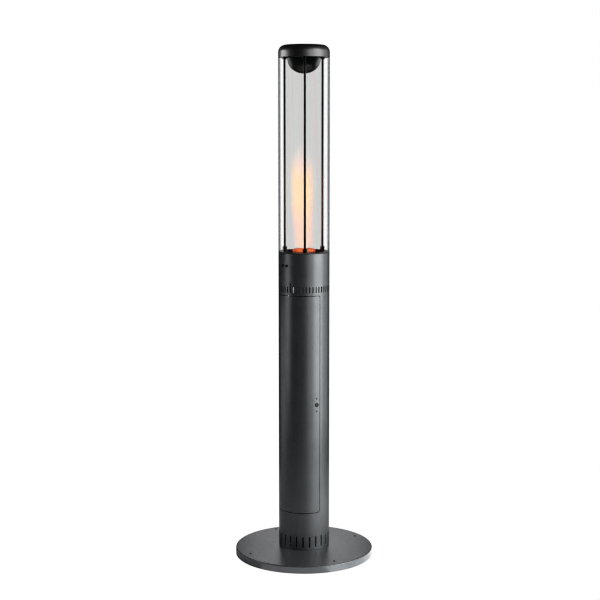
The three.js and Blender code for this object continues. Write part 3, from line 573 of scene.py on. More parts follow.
zs = cone_z(SCREW_PCR) + 0.55
head = [(0, -16), (2.2, -16), (2.2, 0), (4.9, 0), (5.2, 0.35)] + [(r, max(0.35, z * 0.55)) for r, z in arc(0, 0, 5.2, 12, 86, 9)] + [(0, 2.9)]
for k, p in enumerate(screws):
    m = at(p.x, p.y, zs) @ Matrix.Rotation(math.radians(17 + 31 * k), 4, "Z")
    body = lathe(head, 48, m)
    cross = [prism(rect(5.2, 1.15), 1.1, 4, m), prism(rect(1.15, 5.2), 1.1, 4, m)]
    piece(f"base_screw_head_{k + 1}", cut(cut(body, cross[0]), cross[1]), M["base_screw"], nodes=f"base_screw_{k + 1}")

piece("column_foot_disc", cut(lathe([(30, COL_Z0), (COL_RI - 0.6, COL_Z0), (COL_RI - 0.6, COL_Z0 + 4), (30, COL_Z0 + 4)], 144, soft=0.5), *[hole(p, 5.6, 30, 60) for p in foot_bolts]),
      M["column"], nodes="column_foot_plate")


def hex_head(r, h, m=None, bore=0.0, both=False):
    """A hexagon nut or bolt head with turned chamfers."""
    blank = prism(polygon(r, 6), 0, h)
    k = 0.14 * r
    top = [(0, h + 0.01), (r * 0.9, h + 0.01), (r + 0.3, h - k), (r + 0.3, k if both else -0.01)]
    top += [(r * 0.9, -0.01), (0, -0.01)] if both else [(0, -0.01)]
    got = common(blank, lathe(top, 64))
    if bore:
        got = cut(got, lathe([(0, -2), (bore + 0.8, -2), (bore + 0.8, 0.0), (bore, 0.8), (bore, h - 0.8), (bore + 0.8, h), (bore + 0.8, h + 2), (0, h + 2)], 40))
    if m is not None:
        got.transform(m)
    return got


for k, p in enumerate(foot_bolts):
    z = COL_Z0 + 4.3
    body = join(hex_head(9.2, 6.4, at(p.x, p.y, z)), rod(5, z - 30, z + 1, at(p.x, p.y), 24))
    piece(f"column_bolt_head_{k + 1}", body, M["zinc"], nodes=f"column_bolt_{k + 1}")


# ------------------------------------------------------------------ column and door
def door_block(offset):
    z0, z1, r, rt = DOOR_Z0 + offset, DOOR_Z1 - offset, DOOR_CORNER_LOW - offset, DOOR_CORNER_TOP - offset
    o = arc(offset + r, z0 + r, r, 180, 270, 14) + [(130, z0), (130, z1)] + arc(offset + rt, z1 - rt, rt, 90, 180, 10)
    u, v = out(DOOR_AZ - 90), out(DOOR_AZ)
    m = Matrix(((u.x, 0, -v.x, 0), (u.y, 0, -v.y, 0), (0, 1, 0, 0), (0, 0, 0, 1)))
    return prism(o, -140, 140, m)


SEG = 360
turned = Matrix.Rotation(math.radians(SLOT_AZ + 0.5), 4, "Z")


def sheet_tube(z0, z1):
    return lathe([(COL_RI, z0 + 0.3), (COL_RI + 0.3, z0), (COL_R - 0.3, z0), (COL_R, z0 + 0.3), (COL_R, z1 - 0.3), (COL_R - 0.3, z1), (COL_RI + 0.3, z1), (COL_RI, z1 - 0.3)], SEG, turned)


cutters = [door_block(-DOOR_GAP / 2)]
for k in range(LOW_SLOTS):
    cutters.append(prism(rounded(rect(LOW_SLOT_W, LOW_SLOT_Z1 - LOW_SLOT_Z0), 2.4, 6), 100, 120, facing(SLOT_AZ + 15 * k, 0, (LOW_SLOT_Z0 + LOW_SLOT_Z1) / 2)))
for k in range(-TOP_SLOT_HALF, TOP_SLOT_HALF + 1):
    top = LEVER_SLOT_Z1 if k == LEVER_SLOT else TOP_SLOT_Z1
    cutters.append(prism(rounded(rect(TOP_SLOT_W, top - TOP_SLOT_Z0), 1.2, 4), 100, 120, facing(SLOT_AZ + 7.5 * k, 0, (TOP_SLOT_Z0 + top) / 2)))
for t in (-BUTTON_DT, BUTTON_DT):
    cutters.append(prism(oval(BUTTON_W, BUTTON_H), 90, 120, facing(BUTTON_AZ, 0, BUTTON_Z, t)))
piece("column_tube_skin", cut(sheet_tube(COL_Z0, COL_Z1), *cutters), M["column"], nodes="column_tube", sharp=40)

door = common(lathe([(COL_RI, DOOR_Z0), (COL_R, DOOR_Z0), (COL_R, DOOR_Z1), (COL_RI, DOOR_Z1)], SEG, turned), door_block(DOOR_GAP / 2))
door = cut(door, rod(LOCK_R + 0.4, 95, 120, facing(LOCK_AZ, 0, LOCK_Z), 48), *[rod(2.7, 95, 120, facing(LOCK_AZ, 0, LOCK_Z + d), 24) for d in (RIVET_DZ, -RIVET_DZ)])
piece("door_panel_skin", door, M["column"], nodes="door_panel", sharp=40)

# hinges
haz = DOOR_AZ - 180
H = out(haz) * HINGE_R


def leaf(t0, t1, z0, z1, soft=0.4):
    """A curved strip on the column's outside, between two distances from the hinge line."""
    a0, a1 = math.degrees(t0 / COL_R), math.degrees(t1 / COL_R)
    n = max(4, int(abs(a1 - a0) / 1.0))
    inner, outer = COL_R + 0.3, COL_R + 2.3
    bm = bmesh.new()
    cols = []
    for i in range(n + 1):
        d = out(haz + a0 + (a1 - a0) * i / n)
        cols.append([bm.verts.new((d.x * r, d.y * r, z)) for r, z in ((inner, z0), (outer, z0), (outer, z1), (inner, z1))])
    for a, b in zip(cols, cols[1:]):
        for k in range(4):
            j = (k + 1) % 4
            bm.faces.new((a[k], a[j], b[j], b[k]))
    bm.faces.new(cols[0])
    bm.faces.new(cols[-1][::-1])
    bmesh.ops.recalc_face_normals(bm, faces=bm.faces)
    if soft:
        sharp = [e for e in bm.edges if math.degrees(e.calc_face_angle(0)) > 50]
        bmesh.ops.bevel(bm, geom=sharp, offset=soft, segments=2, profile=0.5, affect="EDGES", clamp_overlap=True)
    return done(bm)


def knuckle(z0, z1):
    return lathe([(0, z0), (KNUCKLE_R, z0), (KNUCKLE_R, z1), (0, z1)], 48, at(H.x, H.y), soft=0.4)


for i, z in enumerate(HINGE_Z):
    tag, h3, g = ("lower", "upper")[i], HINGE_H / 3, 0.25
    bore = lambda: rod(PIN_R + 0.2, z - 5, z + HINGE_H + 5, at(H.x, H.y), 32)
    a = join(leaf(5.2, 30, z, z + HINGE_H), leaf(0, 6, z + h3 + g, z + 2 * h3 - g, 0), knuckle(z + h3 + g, z + 2 * h3 - g))
    piece(f"hinge_door_leaf_{tag}", cut(a, bore()), M["column"], nodes=f"hinge_leaf_door_{tag}")
    b = join(leaf(-30, -5.2, z, z + HINGE_H), leaf(-6, 0, z, z + h3 - g, 0), leaf(-6, 0, z + 2 * h3 + g, z + HINGE_H, 0), knuckle(z, z + h3 - g), knuckle(z + 2 * h3 + g, z + HINGE_H))
    piece(f"hinge_column_leaf_{tag}", cut(b, bore()), M["column"], nodes=f"hinge_leaf_column_{tag}")
    pin = [(0, z - 1.5), (PIN_R, z - 1.5), (PIN_R, z + HINGE_H + 0.5), (4, z + HINGE_H + 0.5), (4, z + HINGE_H + 2.5), (0, z + HINGE_H + 2.5)]
    piece(f"hinge_pin_rod_{tag}", lathe(pin, 40, at(H.x, H.y), soft=0.6), M["zinc"], nodes=f"hinge_pin_{tag}")

# cam lock
fl = facing(LOCK_AZ, 0, LOCK_Z)
body = [(PLUG_R + 0.15, 94.5), (LOCK_R, 94.5), (LOCK_R, COL_R + 0.35), (LOCK_FLANGE_R, COL_R + 0.35), (LOCK_FLANGE_R, COL_R + 1.3), (LOCK_FLANGE_R - 1.1, COL_R + 2.3), (PLUG_R + 0.9, COL_R + 2.3), (PLUG_R + 0.15, COL_R + 1.6)]
piece("lock_body_turned", lathe(body, 72, fl, soft=0.25), M["nickel"], nodes="lock_body")
nut = common(prism(polygon(11, 6, 30), 101, 105, fl), lathe([(0, 101), (9.9, 101), (11.2, 102.2), (11.2, 103.8), (9.9, 105), (0, 105)], 64, fl))
piece("lock_nut_hex", cut(nut, rod(LOCK_R + 0.3, 95, 110, fl, 48)), M["zinc"], nodes="lock_nut")
plate = prism(rounded(rect(24, 76), 3, 5), 105.5, 107, fl, soft=0.3)
piece("lock_backplate_sheet", cut(plate, rod(LOCK_R + 0.4, 100, 112, fl, 48), *[rod(2.7, 100, 112, facing(LOCK_AZ, 0, LOCK_Z + d), 24) for d in (RIVET_DZ, -RIVET_DZ)]), M["zinc"], nodes="lock_backplate")
rivet = [(0, 103.4), (3.9, 103.4), (3.9, 105.2), (2.4, 105.2), (2.4, COL_R + 0.3), (3.6, COL_R + 0.3), (3.3, COL_R + 0.9), (2.4, COL_R + 1.35), (0, COL_R + 1.6)]
for tag, d in (("upper", RIVET_DZ), ("lower", -RIVET_DZ)):
    piece(f"lock_rivet_head_{tag}", lathe(rivet, 40, facing(LOCK_AZ, 0, LOCK_Z + d), soft=0.25), M["nickel"], nodes=f"lock_rivet_{tag}")
plug = lathe([(0, 88.6), (2.7, 88.6), (2.7, 94.3), (PLUG_R, 94.3), (PLUG_R, COL_R + 1.5), (PLUG_R - 0.5, COL_R + 2.0), (0, COL_R + 2.0)], 56, fl, soft=0.15)
piece("lock_plug_turned", cut(plug, prism(rect(2.0, 7.4), COL_R - 2, COL_R + 4, fl)), M["nickel"], nodes="lock_plug")
cam = [prism(rounded(rect(14, 25, 0, 3.5), 5, 5), 91.5, 94, fl, soft=0.3), prism(rect(12, 3, 0, 14.6), 91.5, 102.5, fl, soft=0.3), prism(rounded(rect(12, 15, 0, 20.6), 2, 3), 100, 102.5, fl, soft=0.3)]
piece("lock_cam_cranked", cut(join(*cam), rod(3, 85, 96, fl, 32)), M["zinc"], nodes="lock_cam")

# bottle shelf and divider plate
rim = COL_RI - 0.6
SHELF_Z, DIVIDER_Z = 196.0, 1157.0
shelf = lathe([(18, SHELF_Z), (rim - 2, SHELF_Z), (rim - 2, SHELF_Z - 14), (rim, SHELF_Z - 14), (rim, SHELF_Z + 2), (18, SHELF_Z + 2)], 180, soft=0.5)
piece("bottle_shelf_tray", cut(shelf, *[hole(out(60 * k) * 66, 12, 180, 210, 40) for k in range(6)]), M["zinc"], nodes="bottle_shelf")
divider = lathe([(0, DIVIDER_Z), (rim, DIVIDER_Z), (rim, DIVIDER_Z + 8), (rim - 1.5, DIVIDER_Z + 8), (rim - 1.5, DIVIDER_Z + 1.5), (0, DIVIDER_Z + 1.5)], 180, soft=0.4)
piece("divider_plate_sheet", cut(divider, *[rod(r, 1146, 1176, at(x, y), 40) for r, x, y in ((6, 45.7, 35.71), (5, -50, 40), (5, -65, 10))]), M["zinc"], nodes="divider_plate")


# ------------------------------------------------------------------ gas train
def kept(node, material, sharp=35.0, soft=0.5):
    """A CAD node that stays: its own material, small rounded edges."""
    o = NODES[node]
    o.data.materials.clear()
    o.data.materials.append(material)
    for f in o.data.polygons:
        f.use_smooth = True
    b = o.modifiers.new("edges", "BEVEL")
    b.width, b.segments, b.limit_method, b.angle_limit = soft * 0.001, 2, "ANGLE", math.radians(sharp)
    b.harden_normals = False
    w = o.modifiers.new("normals", "WEIGHTED_NORMAL")
    w.weight = 60
    return o


a, zp = LEVER_AZ, LEVER_PIVOT_Z
la = facing(a, 0, 0)


def out_block(w, h, az, r0, r1, z, t=0.0, soft=0.8, corner=1.5):
    return prism(rounded(rect(w, h), corner, 4), r0, r1, facing(az, 0, z, t), soft=soft)


spindle = lambda r, l, t=0.0: rod(r, -l / 2, l / 2, facing(a, LEVER_PIVOT_R, zp, t) @ Matrix.Rotation(math.pi / 2, 4, "Y"), 32, 0.3)
unit = join(out_block(36, 44, a, 48, 76, zp - 2, 26), out_block(40, 16, a, 55, 72, 1206, 10), spindle(4, 16, 1), out_block(15, 76, BUTTON_AZ, 62, 80, 1244, BUTTON_DT + 1),
            out_block(18, 34, BUTTON_AZ, 60, 97, BUTTON_Z, BUTTON_DT + 1), rod(8, 40, 50, facing(a, 0, 1181, 26), 6, 0.4))
unit = cut(unit, rod(3.3, 82, 99, facing(BUTTON_AZ, 0, BUTTON_Z, BUTTON_DT), 32))
piece("gas_valve_body", unit, M["brass"], nodes="gas_valve", sharp=30)

blade = prism(rounded(rect(3, 7), 1.0, 3), 6, 52.5, facing(a), soft=0.6)
hub = rod(8, -3, 3, facing(a) @ Matrix.Rotation(math.pi / 2, 4, "Y"), 48, 0.6)
lever = cut(join(blade, hub), rod(4.12, -10, 10, facing(a) @ Matrix.Rotation(math.pi / 2, 4, "Y"), 40))
pv = out(a) * LEVER_PIVOT_R
lever.transform(Matrix.Translation((pv.x, pv.y, zp)) @ Matrix.Rotation(math.radians(-LEVER_REST), 4, side(a)))
piece("flame_lever_blade", lever, M["lever"], nodes="flame_lever")


def button(t):
    """An oval push cap with a crowned face, its stop flange and stem."""
    m = facing(BUTTON_AZ, 0, BUTTON_Z, t)
    cap = prism(oval(BUTTON_W - 0.9, BUTTON_H - 0.9, 14), 103, COL_R - 0.75, m)
    turn = lathe([(0, 96), (COL_R - 0.75, 96), (COL_R - 0.75, 0), (0, 0)], 180, at(0, 0, BUTTON_Z - 48))
    return join(common(cap, turn), prism(oval(BUTTON_W + 3, BUTTON_H + 3, 14), 102.5, 104.5, m, soft=0.3), rod(3, 88, 103, m, 32))


piece("igniter_button_cap", button(-BUTTON_DT), M["button"], nodes="igniter_button")
piece("safety_button_cap", button(BUTTON_DT), M["button"], nodes="safety_button")
fb = facing(BUTTON_AZ, 0, BUTTON_Z, -BUTTON_DT)
piece("piezo_igniter_body", cut(join(lathe([(0, 56), (5, 56), (5, 60), (8, 61), (8, 97), (0, 97)], 40, fb, soft=0.5), prism(polygon(10.5, 6), 92, 95, fb, soft=0.3)), rod(3.3, 82, 99, fb, 32)),
      M["ceramic"], nodes="piezo_igniter")
kept("valve_bracket", M["zinc"], soft=0.3)

p0 = out(a) * 60 + side(a) * 36
pipe = tube_along([(p0.x, p0.y, 1209.6), (p0.x, p0.y, 1218), (p0.x * 0.75, p0.y * 0.8, 1225), (p0.x * 0.2, p0.y * 0.3, 1224), (0, 0, 1227), (0, 0, 1235)], 3, 2.0, 20)
piece("burner_pipe_bent", join(pipe, prism(polygon(7, 6), 1228, 1238, soft=0.5)), M["copper"], nodes="burner_pipe", sharp=38)
mixer = lathe([(16.5, 1240), (21, 1240), (18.6, 1246), (16.2, 1251), (14.9, 1257), (14.2, 1266), (14.2, 1333), (12.4, 1333), (12.4, 1266), (13.0, 1257), (14.2, 1251), (15.6, 1245)], 64, soft=0.4)
piece("mixer_tube_spun", cut(mixer, *[rod(4, 5, 30, facing(b, 0, 1249), 24) for b in (30, 120, 210, 300)]), M["zinc"], nodes="mixer_tube")

rc = out(128) * 58
reg = lathe([(0, 1058), (14, 1058), (14, 1066), (28, 1069.5), (31.2, 1072), (32, 1074), (32, 1079.6), (30.6, 1080.2), (30.6, 1081.8), (32, 1082.4), (32, 1088), (31, 1090.5), (28, 1093), (12, 1096), (7, 1096.5),
             (7, 1102), (5.9, 1103), (7, 1104), (7, 1106), (5.9, 1107), (7, 1108), (7, 1110), (0, 1110)], 72, at(rc.x, rc.y), soft=0.5)
piece("gas_regulator_body", join(reg, out_block(26, 22, 128, 60, 106, 1080, soft=0.5)), M["zinc"], nodes="gas_regulator")
hin = out(a) * 38.6 + side(a) * 26
hose = tube_along([(hin.x, hin.y, 1181), (9, -34, 1182), (21, -11, 1191), (32, 10, 1200), (41.5, 27.5, 1196), (45.7, 35.71, 1182), (45.7, 35.71, 1166), (45.7, 35.71, 1140), (rc.x, rc.y, 1110.6)], 5.4, 1.2, 24,
                  ripple=lambda s: 1.0 + 0.018 * (1 if (s % 3.0) < 1.5 else -1))
piece("gas_hose_run", hose, M["hose"], nodes="gas_hose", sharp=50)
switch = join(prism(rounded([(-16, 62), (16, 62), (16, 84), (-16, 84)], 2, 4), 1159.2, 1182, soft=0.8), prism([(-8, 58), (8, 58), (8, 64), (-8, 64)], 1162, 1174, soft=0.5))
piece("tilt_switch_case", switch, M["plastic"], nodes="tilt_switch")

e0, e1 = Vector((3.7, 58, 0)), Vector((3.8, 76, 0))
pe = out(BUTTON_AZ) * 52 + side(BUTTON_AZ) * -BUTTON_DT
core = lathe([(0, 1312), (3.0, 1312), (3.6, 1313)] + [q for k in range(6) for q in ((3.6, 1318 + 5 * k), (3.0, 1319 + 5 * k), (3.6, 1320 + 5 * k))] + [(3.6, 1353), (2.4, 1355), (0, 1355)], 40, at(e0.x, e0.y))
wire = tube_along([(e0.x, e0.y, 1352), (e0.x, e0.y, 1358), (e0.x * 0.96, e0.y * 0.96, 1360.3), (e0.x * 0.84, e0.y * 0.84, 1361)], 1.2, 0.7, 16)
lead = tube_along([(e0.x, e0.y, 1314), (e0.x, e0.y, 1302), (-40, 40, 1294), (-56, 0, 1288), (pe.x - 6, pe.y + 4, 1286), (pe.x, pe.y, 1280.6), (pe.x + 1.9, pe.y - 1.7, 1280.6)], 1.6, 1.5, 14)
piece("spark_electrode_set", merged(core, wire, lead), M["ceramic"], nodes="spark_electrode", sharp=50)
pu = out(BUTTON_AZ) * 57 + side(BUTTON_AZ) * (BUTTON_DT + 1)
stem = lathe([(0, 1320), (3, 1320), (3, 1336), (2.4, 1337), (2.4, 1356), (1.8, 1357.6), (0, 1358)], 36, at(e1.x, e1.y), soft=0.3)
lead = tube_along([(e1.x, e1.y, 1322), (e1.x, e1.y, 1306), (-34, 62, 1290), (-60, 20, 1276), (-60, -10, 1271), (pu.x - 12, pu.y + 18, 1270), (pu.x - 2, pu.y + 4, 1268), (pu.x + 1.3, pu.y - 1.1, 1268)], 1.4, 1.5, 14)
piece("flame_probe_set", merged(stem, lead), M["copper"], nodes="flame_probe")

# ------------------------------------------------------------------ burner deck and burner
rods = [out(b) * ROD_PCR for b in ROD_AZ]
deck = [(19, DECK_Z), (104.9, DECK_Z), (104.9, 1308), (106.4, 1308), (106.4, COL_Z1 + 0.3), (COL_R, COL_Z1 + 0.3), (COL_R, COL_Z1 + 2.1), (105.7, COL_Z1 + 2.1), (105.7, DECK_Z + DECK_T), (19, DECK_Z + DECK_T)]
holes = [hole(out(32.5 + 60 * k) * 78, 5, 1328, 1341, 32) for k in range(6)] + [hole(p, ROD_R + 0.5, 1322, 1341) for p in rods] + [hole(e0, 4.3, 1322, 1341), hole(e1, 3.7, 1322, 1341)]
piece("burner_deck_plate", cut(lathe(deck, 240, soft=0.5), *holes), M["deck"], nodes="burner_deck")
b0 = DECK_Z + DECK_T + 0.3
burner = [(14.8, 1322), (17.8, 1322), (17.8, b0 + 1), (46, b0), (BURNER_R, b0 + 2.5), (BURNER_R, 1343.2), (48.3, 1345.0), (46, 1346.2), (30, 1347.0), (0, 1347.6), (0, 1346.0), (45, 1344.6), (47.4, 1342.9), (47.4, 1339.4), (44, 1338.0), (14.8, 1338.8)]
ports = []
for ring_r, count in ((8, 8), (15, 14), (22, 20), (29, 26), (36, 32), (42.5, 38)):
    ports += [rod(1.05, 1341, 1352, at(ring_r * math.cos(2 * math.pi * k / count + ring_r), ring_r * math.sin(2 * math.pi * k / count + ring_r)), 10) for k in range(count)]
piece("burner_head_cup", cut(lathe(burner, 120), *ports), M["glow"], nodes="burner_head", sharp=35)

# ------------------------------------------------------------------ glass, rods, cap
piece("glass_seal_lower_ring", lathe([(106.3, COL_Z1 + 2.4), (109.7, COL_Z1 + 2.4), (109.7, GLASS_Z0 - 0.3), (106.3, GLASS_Z0 - 0.3)], 192, soft=0.6), M["seal"], nodes="glass_seal_lower")
glass = piece("glass_tube_clear", lathe([(GLASS_R - GLASS_T, GLASS_Z0), (GLASS_R, GLASS_Z0), (GLASS_R, GLASS_Z1), (GLASS_R - GLASS_T, GLASS_Z1)], 256, soft=0.7), M["glass"], nodes="glass_tube")
piece("glass_seal_upper_ring", lathe([(106.3, CAP_Z0), (107.3, CAP_Z0), (107.3, CAP_LEDGE_Z - 0.3), (106.3, CAP_LEDGE_Z - 0.3)], 192, soft=0.3), M["seal"], nodes="glass_seal_upper")

f0, t1 = DECK_Z + DECK_T + 0.3, PLATE_Z - 0.3
rod_profile = [(0, 1318), (ROD_R - 0.5, 1318), (ROD_R, 1318.5), (ROD_R, f0), (ROD_FOOT_R, f0), (ROD_FOOT_R, f0 + ROD_FOOT_H - 1.5), (ROD_FOOT_R - 1.5, f0 + ROD_FOOT_H), (ROD_R, f0 + ROD_FOOT_H),
               (ROD_R, t1 - ROD_SHOULDER_H), (ROD_FOOT_R - 1, t1 - ROD_SHOULDER_H), (ROD_FOOT_R, t1 - ROD_SHOULDER_H + 1), (ROD_FOOT_R, t1), (ROD_R, t1), (ROD_R, 2168), (ROD_R - 0.5, 2168.5), (0, 2168.5)]
for k, p in enumerate(rods):
    piece(f"tie_rod_bar_{k + 1}", lathe(rod_profile, 40, at(p.x, p.y), soft=0.5), M["rod"], nodes=f"tie_rod_{k + 1}")
    piece(f"rod_nut_upper_{k + 1}", hex_head(9, 6.5, at(p.x, p.y, PLATE_Z + PLATE_T + 0.3), ROD_R + 0.25, True), M["zinc"], nodes=f"rod_nut_top_{k + 1}")
    piece(f"rod_nut_lower_{k + 1}", hex_head(9, 6.5, at(p.x, p.y, DECK_Z - 6.8), ROD_R + 0.25, True), M["zinc"], nodes=f"rod_nut_bottom_{k + 1}")

spider = []
for b in sorted(ROD_AZ):
    c, w = out(b) * ROD_PCR, math.degrees(math.asin(10.5 / 38))
    spider += [c + out(b - 90 + 180 * i / 16) * 10.5 for i in range(17)] + [out(b + w + (120 - 2 * w) * i / 12) * 38 for i in range(13)]
plate = prism(rounded([(q.x, q.y) for q in spider], 5, 5), PLATE_Z, PLATE_Z + PLATE_T, soft=0.3)
piece("head_plate_spider", cut(plate, rod(6.6, PLATE_Z - 4, PLATE_Z + 6, None, 48), *[hole(p, ROD_R + 0.5, PLATE_Z - 4, PLATE_Z + 6) for p in rods]), M["deck"], nodes="head_plate")


def bowl(t, n, a0, a1):
    return [((DOME_R - t) * math.cos(w), DOME_C_Z + (DOME_H - t) * math.sin(w)) for w in (math.radians(a0 + (a1 - a0) * i / n) for i in range(n + 1))]


def rim_angle(t, z):
    return math.degrees(math.asin((z - DOME_C_Z) / (DOME_H - t)))


dome = [(0.0, DOME_C_Z - DOME_H)] + bowl(0, 44, -90, rim_angle(0, DOME_RIM_Z - 0.4))[1:] + bowl(0.4, 1, rim_angle(0.4, DOME_RIM_Z), rim_angle(0.4, DOME_RIM_Z))[:1] + bowl(SHEET, 34, rim_angle(SHEET, DOME_RIM_Z), -85)
dome += [(6, DOME_C_Z - DOME_H + 4.5), (6, 2191.4), (0, 2191.4)]
piece("deflector_dome_spun", cut(lathe(dome, 160), rod(2.6, 2169.4, 2199.4, None, 24)), M["dome"], nodes="deflector_dome", sharp=35)
piece("dome_nut_hex", hex_head(10, 7, at(0, 0, PLATE_Z + PLATE_T + 0.3), 6.35, True), M["zinc"], nodes="dome_nut")

ri2, cz, cr = CAP_R - SHEET, CAP_Z1 - CAP_FILLET, CAP_R - CAP_FILLET
cap = [(ri2 + 0.4, CAP_Z0), (CAP_R - 0.4, CAP_Z0), (CAP_R, CAP_Z0 + 0.4)] + arc(cr, cz, CAP_FILLET, 0, 90, 28) + [(3.4, CAP_Z1), (3.4, CAP_Z1 - SHEET)] + arc(cr, cz, CAP_FILLET - SHEET, 90, 0, 20) + [(ri2, CAP_LEDGE_Z + SHEET), (104.6, CAP_LEDGE_Z + SHEET), (104.6, CAP_LEDGE_Z), (ri2, CAP_LEDGE_Z), (ri2, CAP_Z0 + 0.4)]
vents = [prism(oval(6, 28, 8), -10, 10, Matrix.Rotation(math.radians(30 * k), 4, "Z") @ at(0, 53, CAP_Z1)) for k in range(12)]
piece("cap_shell_spun", cut(lathe(cap, 224), *vents), M["cap"], nodes="cap_shell", sharp=35)
screw = cut(lathe([(0, 2175.4), (2.3, 2175.4), (2.3, CAP_Z1 - 2.2), (3.1, CAP_Z1 - 1.4), (3.1, CAP_Z1 - 0.3), (0, CAP_Z1 - 0.3)], 32, soft=0.25), prism(polygon(1.3, 6), CAP_Z1 - 1.6, CAP_Z1 + 2))
piece("cap_screw_socket", screw, M["steel"], nodes="cap_screw")


# ------------------------------------------------------------------ flame
def flame_material(name, low, high, top, opacity, z0, z1):
    """A see-through sheet of burning gas: brighter low down, torn and thin at the top."""
    m, nt, p = nodes_of(name)
    nt.nodes.remove(p)
    v = coordinates(nt, (1, 1, 0.16))
    lick = noise_of(nt, v, 38.0, 2.0, 0.5, 0.6)
    split = nt.nodes.new("ShaderNodeSeparateXYZ")
    nt.links.new(coordinates(nt), split.inputs[0])
    height = nt.nodes.new("ShaderNodeMapRange")
    height.inputs["From Min"].default_value, height.inputs["From Max"].default_value = z0, z1
    nt.links.new(split.outputs["Z"], height.inputs["Value"])
    glow = nt.nodes.new("ShaderNodeEmission")
    colour = ramp(nt, height.outputs["Result"], [(0.0, low), (0.22, low), (0.45, high), (0.68, high), (0.85, top), (1.0, top)])
    nt.links.new(colour, glow.inputs["Color"])
    fade = ramp(nt, height.outputs["Result"], [(0.0, 0.55), (0.2, 0.8), (0.5, 1.0), (0.7, 0.75), (0.88, 0.35), (1.0, 0.0)], False)
    tear = ramp(nt, lick, [(0.32, 0.25), (0.62, 1.0)], False)
    mul = nt.nodes.new("ShaderNodeMath")
    mul.operation = "MULTIPLY"
    nt.links.new(fade, mul.inputs[0])
    nt.links.new(tear, mul.inputs[1])
    share = nt.nodes.new("ShaderNodeMath")
    share.operation = "MULTIPLY"
    share.inputs[1].default_value = opacity
    nt.links.new(mul.outputs[0], share.inputs[0])
    clear = nt.nodes.new("ShaderNodeBsdfTransparent")
    both = nt.nodes.new("ShaderNodeMixShader")
    nt.links.new(share.outputs[0], both.inputs["Fac"])
    nt.links.new(clear.outputs["BSDF"], both.inputs[1])
    nt.links.new(glow.outputs["Emission"], both.inputs[2])
    nt.links.new(both.outputs["Shader"], nt.nodes["Material Output"].inputs["Surface"])
    m.cycles.emission_sampling = "NONE"
    return m


def between(table, x):
    for (x0, *v0), (x1, *v1) in zip(table, table[1:]):
        if x <= x1:
            f = max(0.0, (x - x0) / (x1 - x0))
            f = f * f * (3 - 2 * f)
            return [p + (q - p) * f for p, q in zip(v0, v1)]
    return list(table[-1][1:])


# height above the burner: half-width, sideways drift
BODY = [(0, 45, -2), (60, 44, -3), (120, 46, -5), (187, 51, -7), (270, 51, -9), (330, 49, -11), (385, 43, -14), (425, 31, -18), (460, 12, -24)]


def flame_shell(name, table, scale, z0, height, seed, material, drift=(0, 0)):
    """One closed tongue of flame: its width and lean follow the height, with a little turbulence."""
    bm = bmesh.new()
    rings, segs, rows = [], 48, 72
    for i in range(rows + 1):
        f = i / rows
        z = z0 + height * f
        half, lean = between(table, table[-1][0] * f)
        r = half * scale * (1 - f ** 14)
        sway = Vector((lean + noise.noise((seed, 1.3, z / 130)) * 7 * f + drift[0], noise.noise((seed, 7.9, z / 130)) * 7 * f + drift[1], 0))
        if i in (0, rows):
            rings.append([bm.verts.new(Vector((0, 0, z)) + sway)])
            continue
        ring = []
        for k in range(segs):
            a = 2 * math.pi * k / segs
            lobes = 1 + 0.26 * f * noise.noise((math.cos(a) * 1.3 + seed, math.sin(a) * 1.3, z / 100)) + 0.08 * noise.noise((math.cos(a) * 3 + seed, math.sin(a) * 3, z / 55))
            ring.append(bm.verts.new(Vector((math.cos(a) * r * lobes, math.sin(a) * r * lobes, z)) + sway))
        rings.append(ring)
    for a, b in zip(rings, rings[1:]):
        for k in range(segs):
            j = (k + 1) % segs
            if len(a) == 1:
                bm.faces.new((a[0], b[j], b[k]))
            elif len(b) == 1:
                bm.faces.new((a[k], a[j], b[0]))
            else:
                bm.faces.new((a[k], a[j], b[j], b[k]))
    o = piece(name, done(bm), material, body="stand", keep=False, sharp=180)
    o.visible_shadow = False
    o.visible_diffuse = False
    return o


shells, burner_top = 7, 1348.4
for i in range(shells):
    f = i / (shells - 1)
    mt = flame_material(f"flame_gas_{i + 1}", (1.50, 0.86 + 0.10 * f, 0.70 - 0.10 * f), (1.52, 1.00 + 0.05 * f, 0.60), (1.35, 0.98, 0.88), 0.17 - 0.05 * f, 1.348, 1.83 - 0.06 * f)
    flame_shell(f"flame_shell_{i + 1}", BODY, 1.0 - 0.5 * f, burner_top + 0.6 * i, 460 - 60 * f, 2.0 + 1.7 * i, mt)
WISP = [(0, 9, 0), (60, 7, 2), (120, 4, 5), (170, 1.5, 8)]
for i, (x, y, low, tall, c) in enumerate(((-48, 4, 1590, 175, (1.3, 0.82, 0.74)), (-27, -8, 1640, 190, (1.6, 1.35, 1.1)), (-16, 10, 1600, 160, (1.4, 0.86, 0.76)), (18, 2, 1560, 150, (1.4, 0.95, 0.6)))):
    mt = flame_material(f"flame_wisp_gas_{i + 1}", c, c, c, 0.14, low / 1000, (low + tall) / 1000)
    flame_shell(f"flame_wisp_{i + 1}", WISP, 1.0, low, tall, 31.0 + 2.3 * i, mt, (x, y))

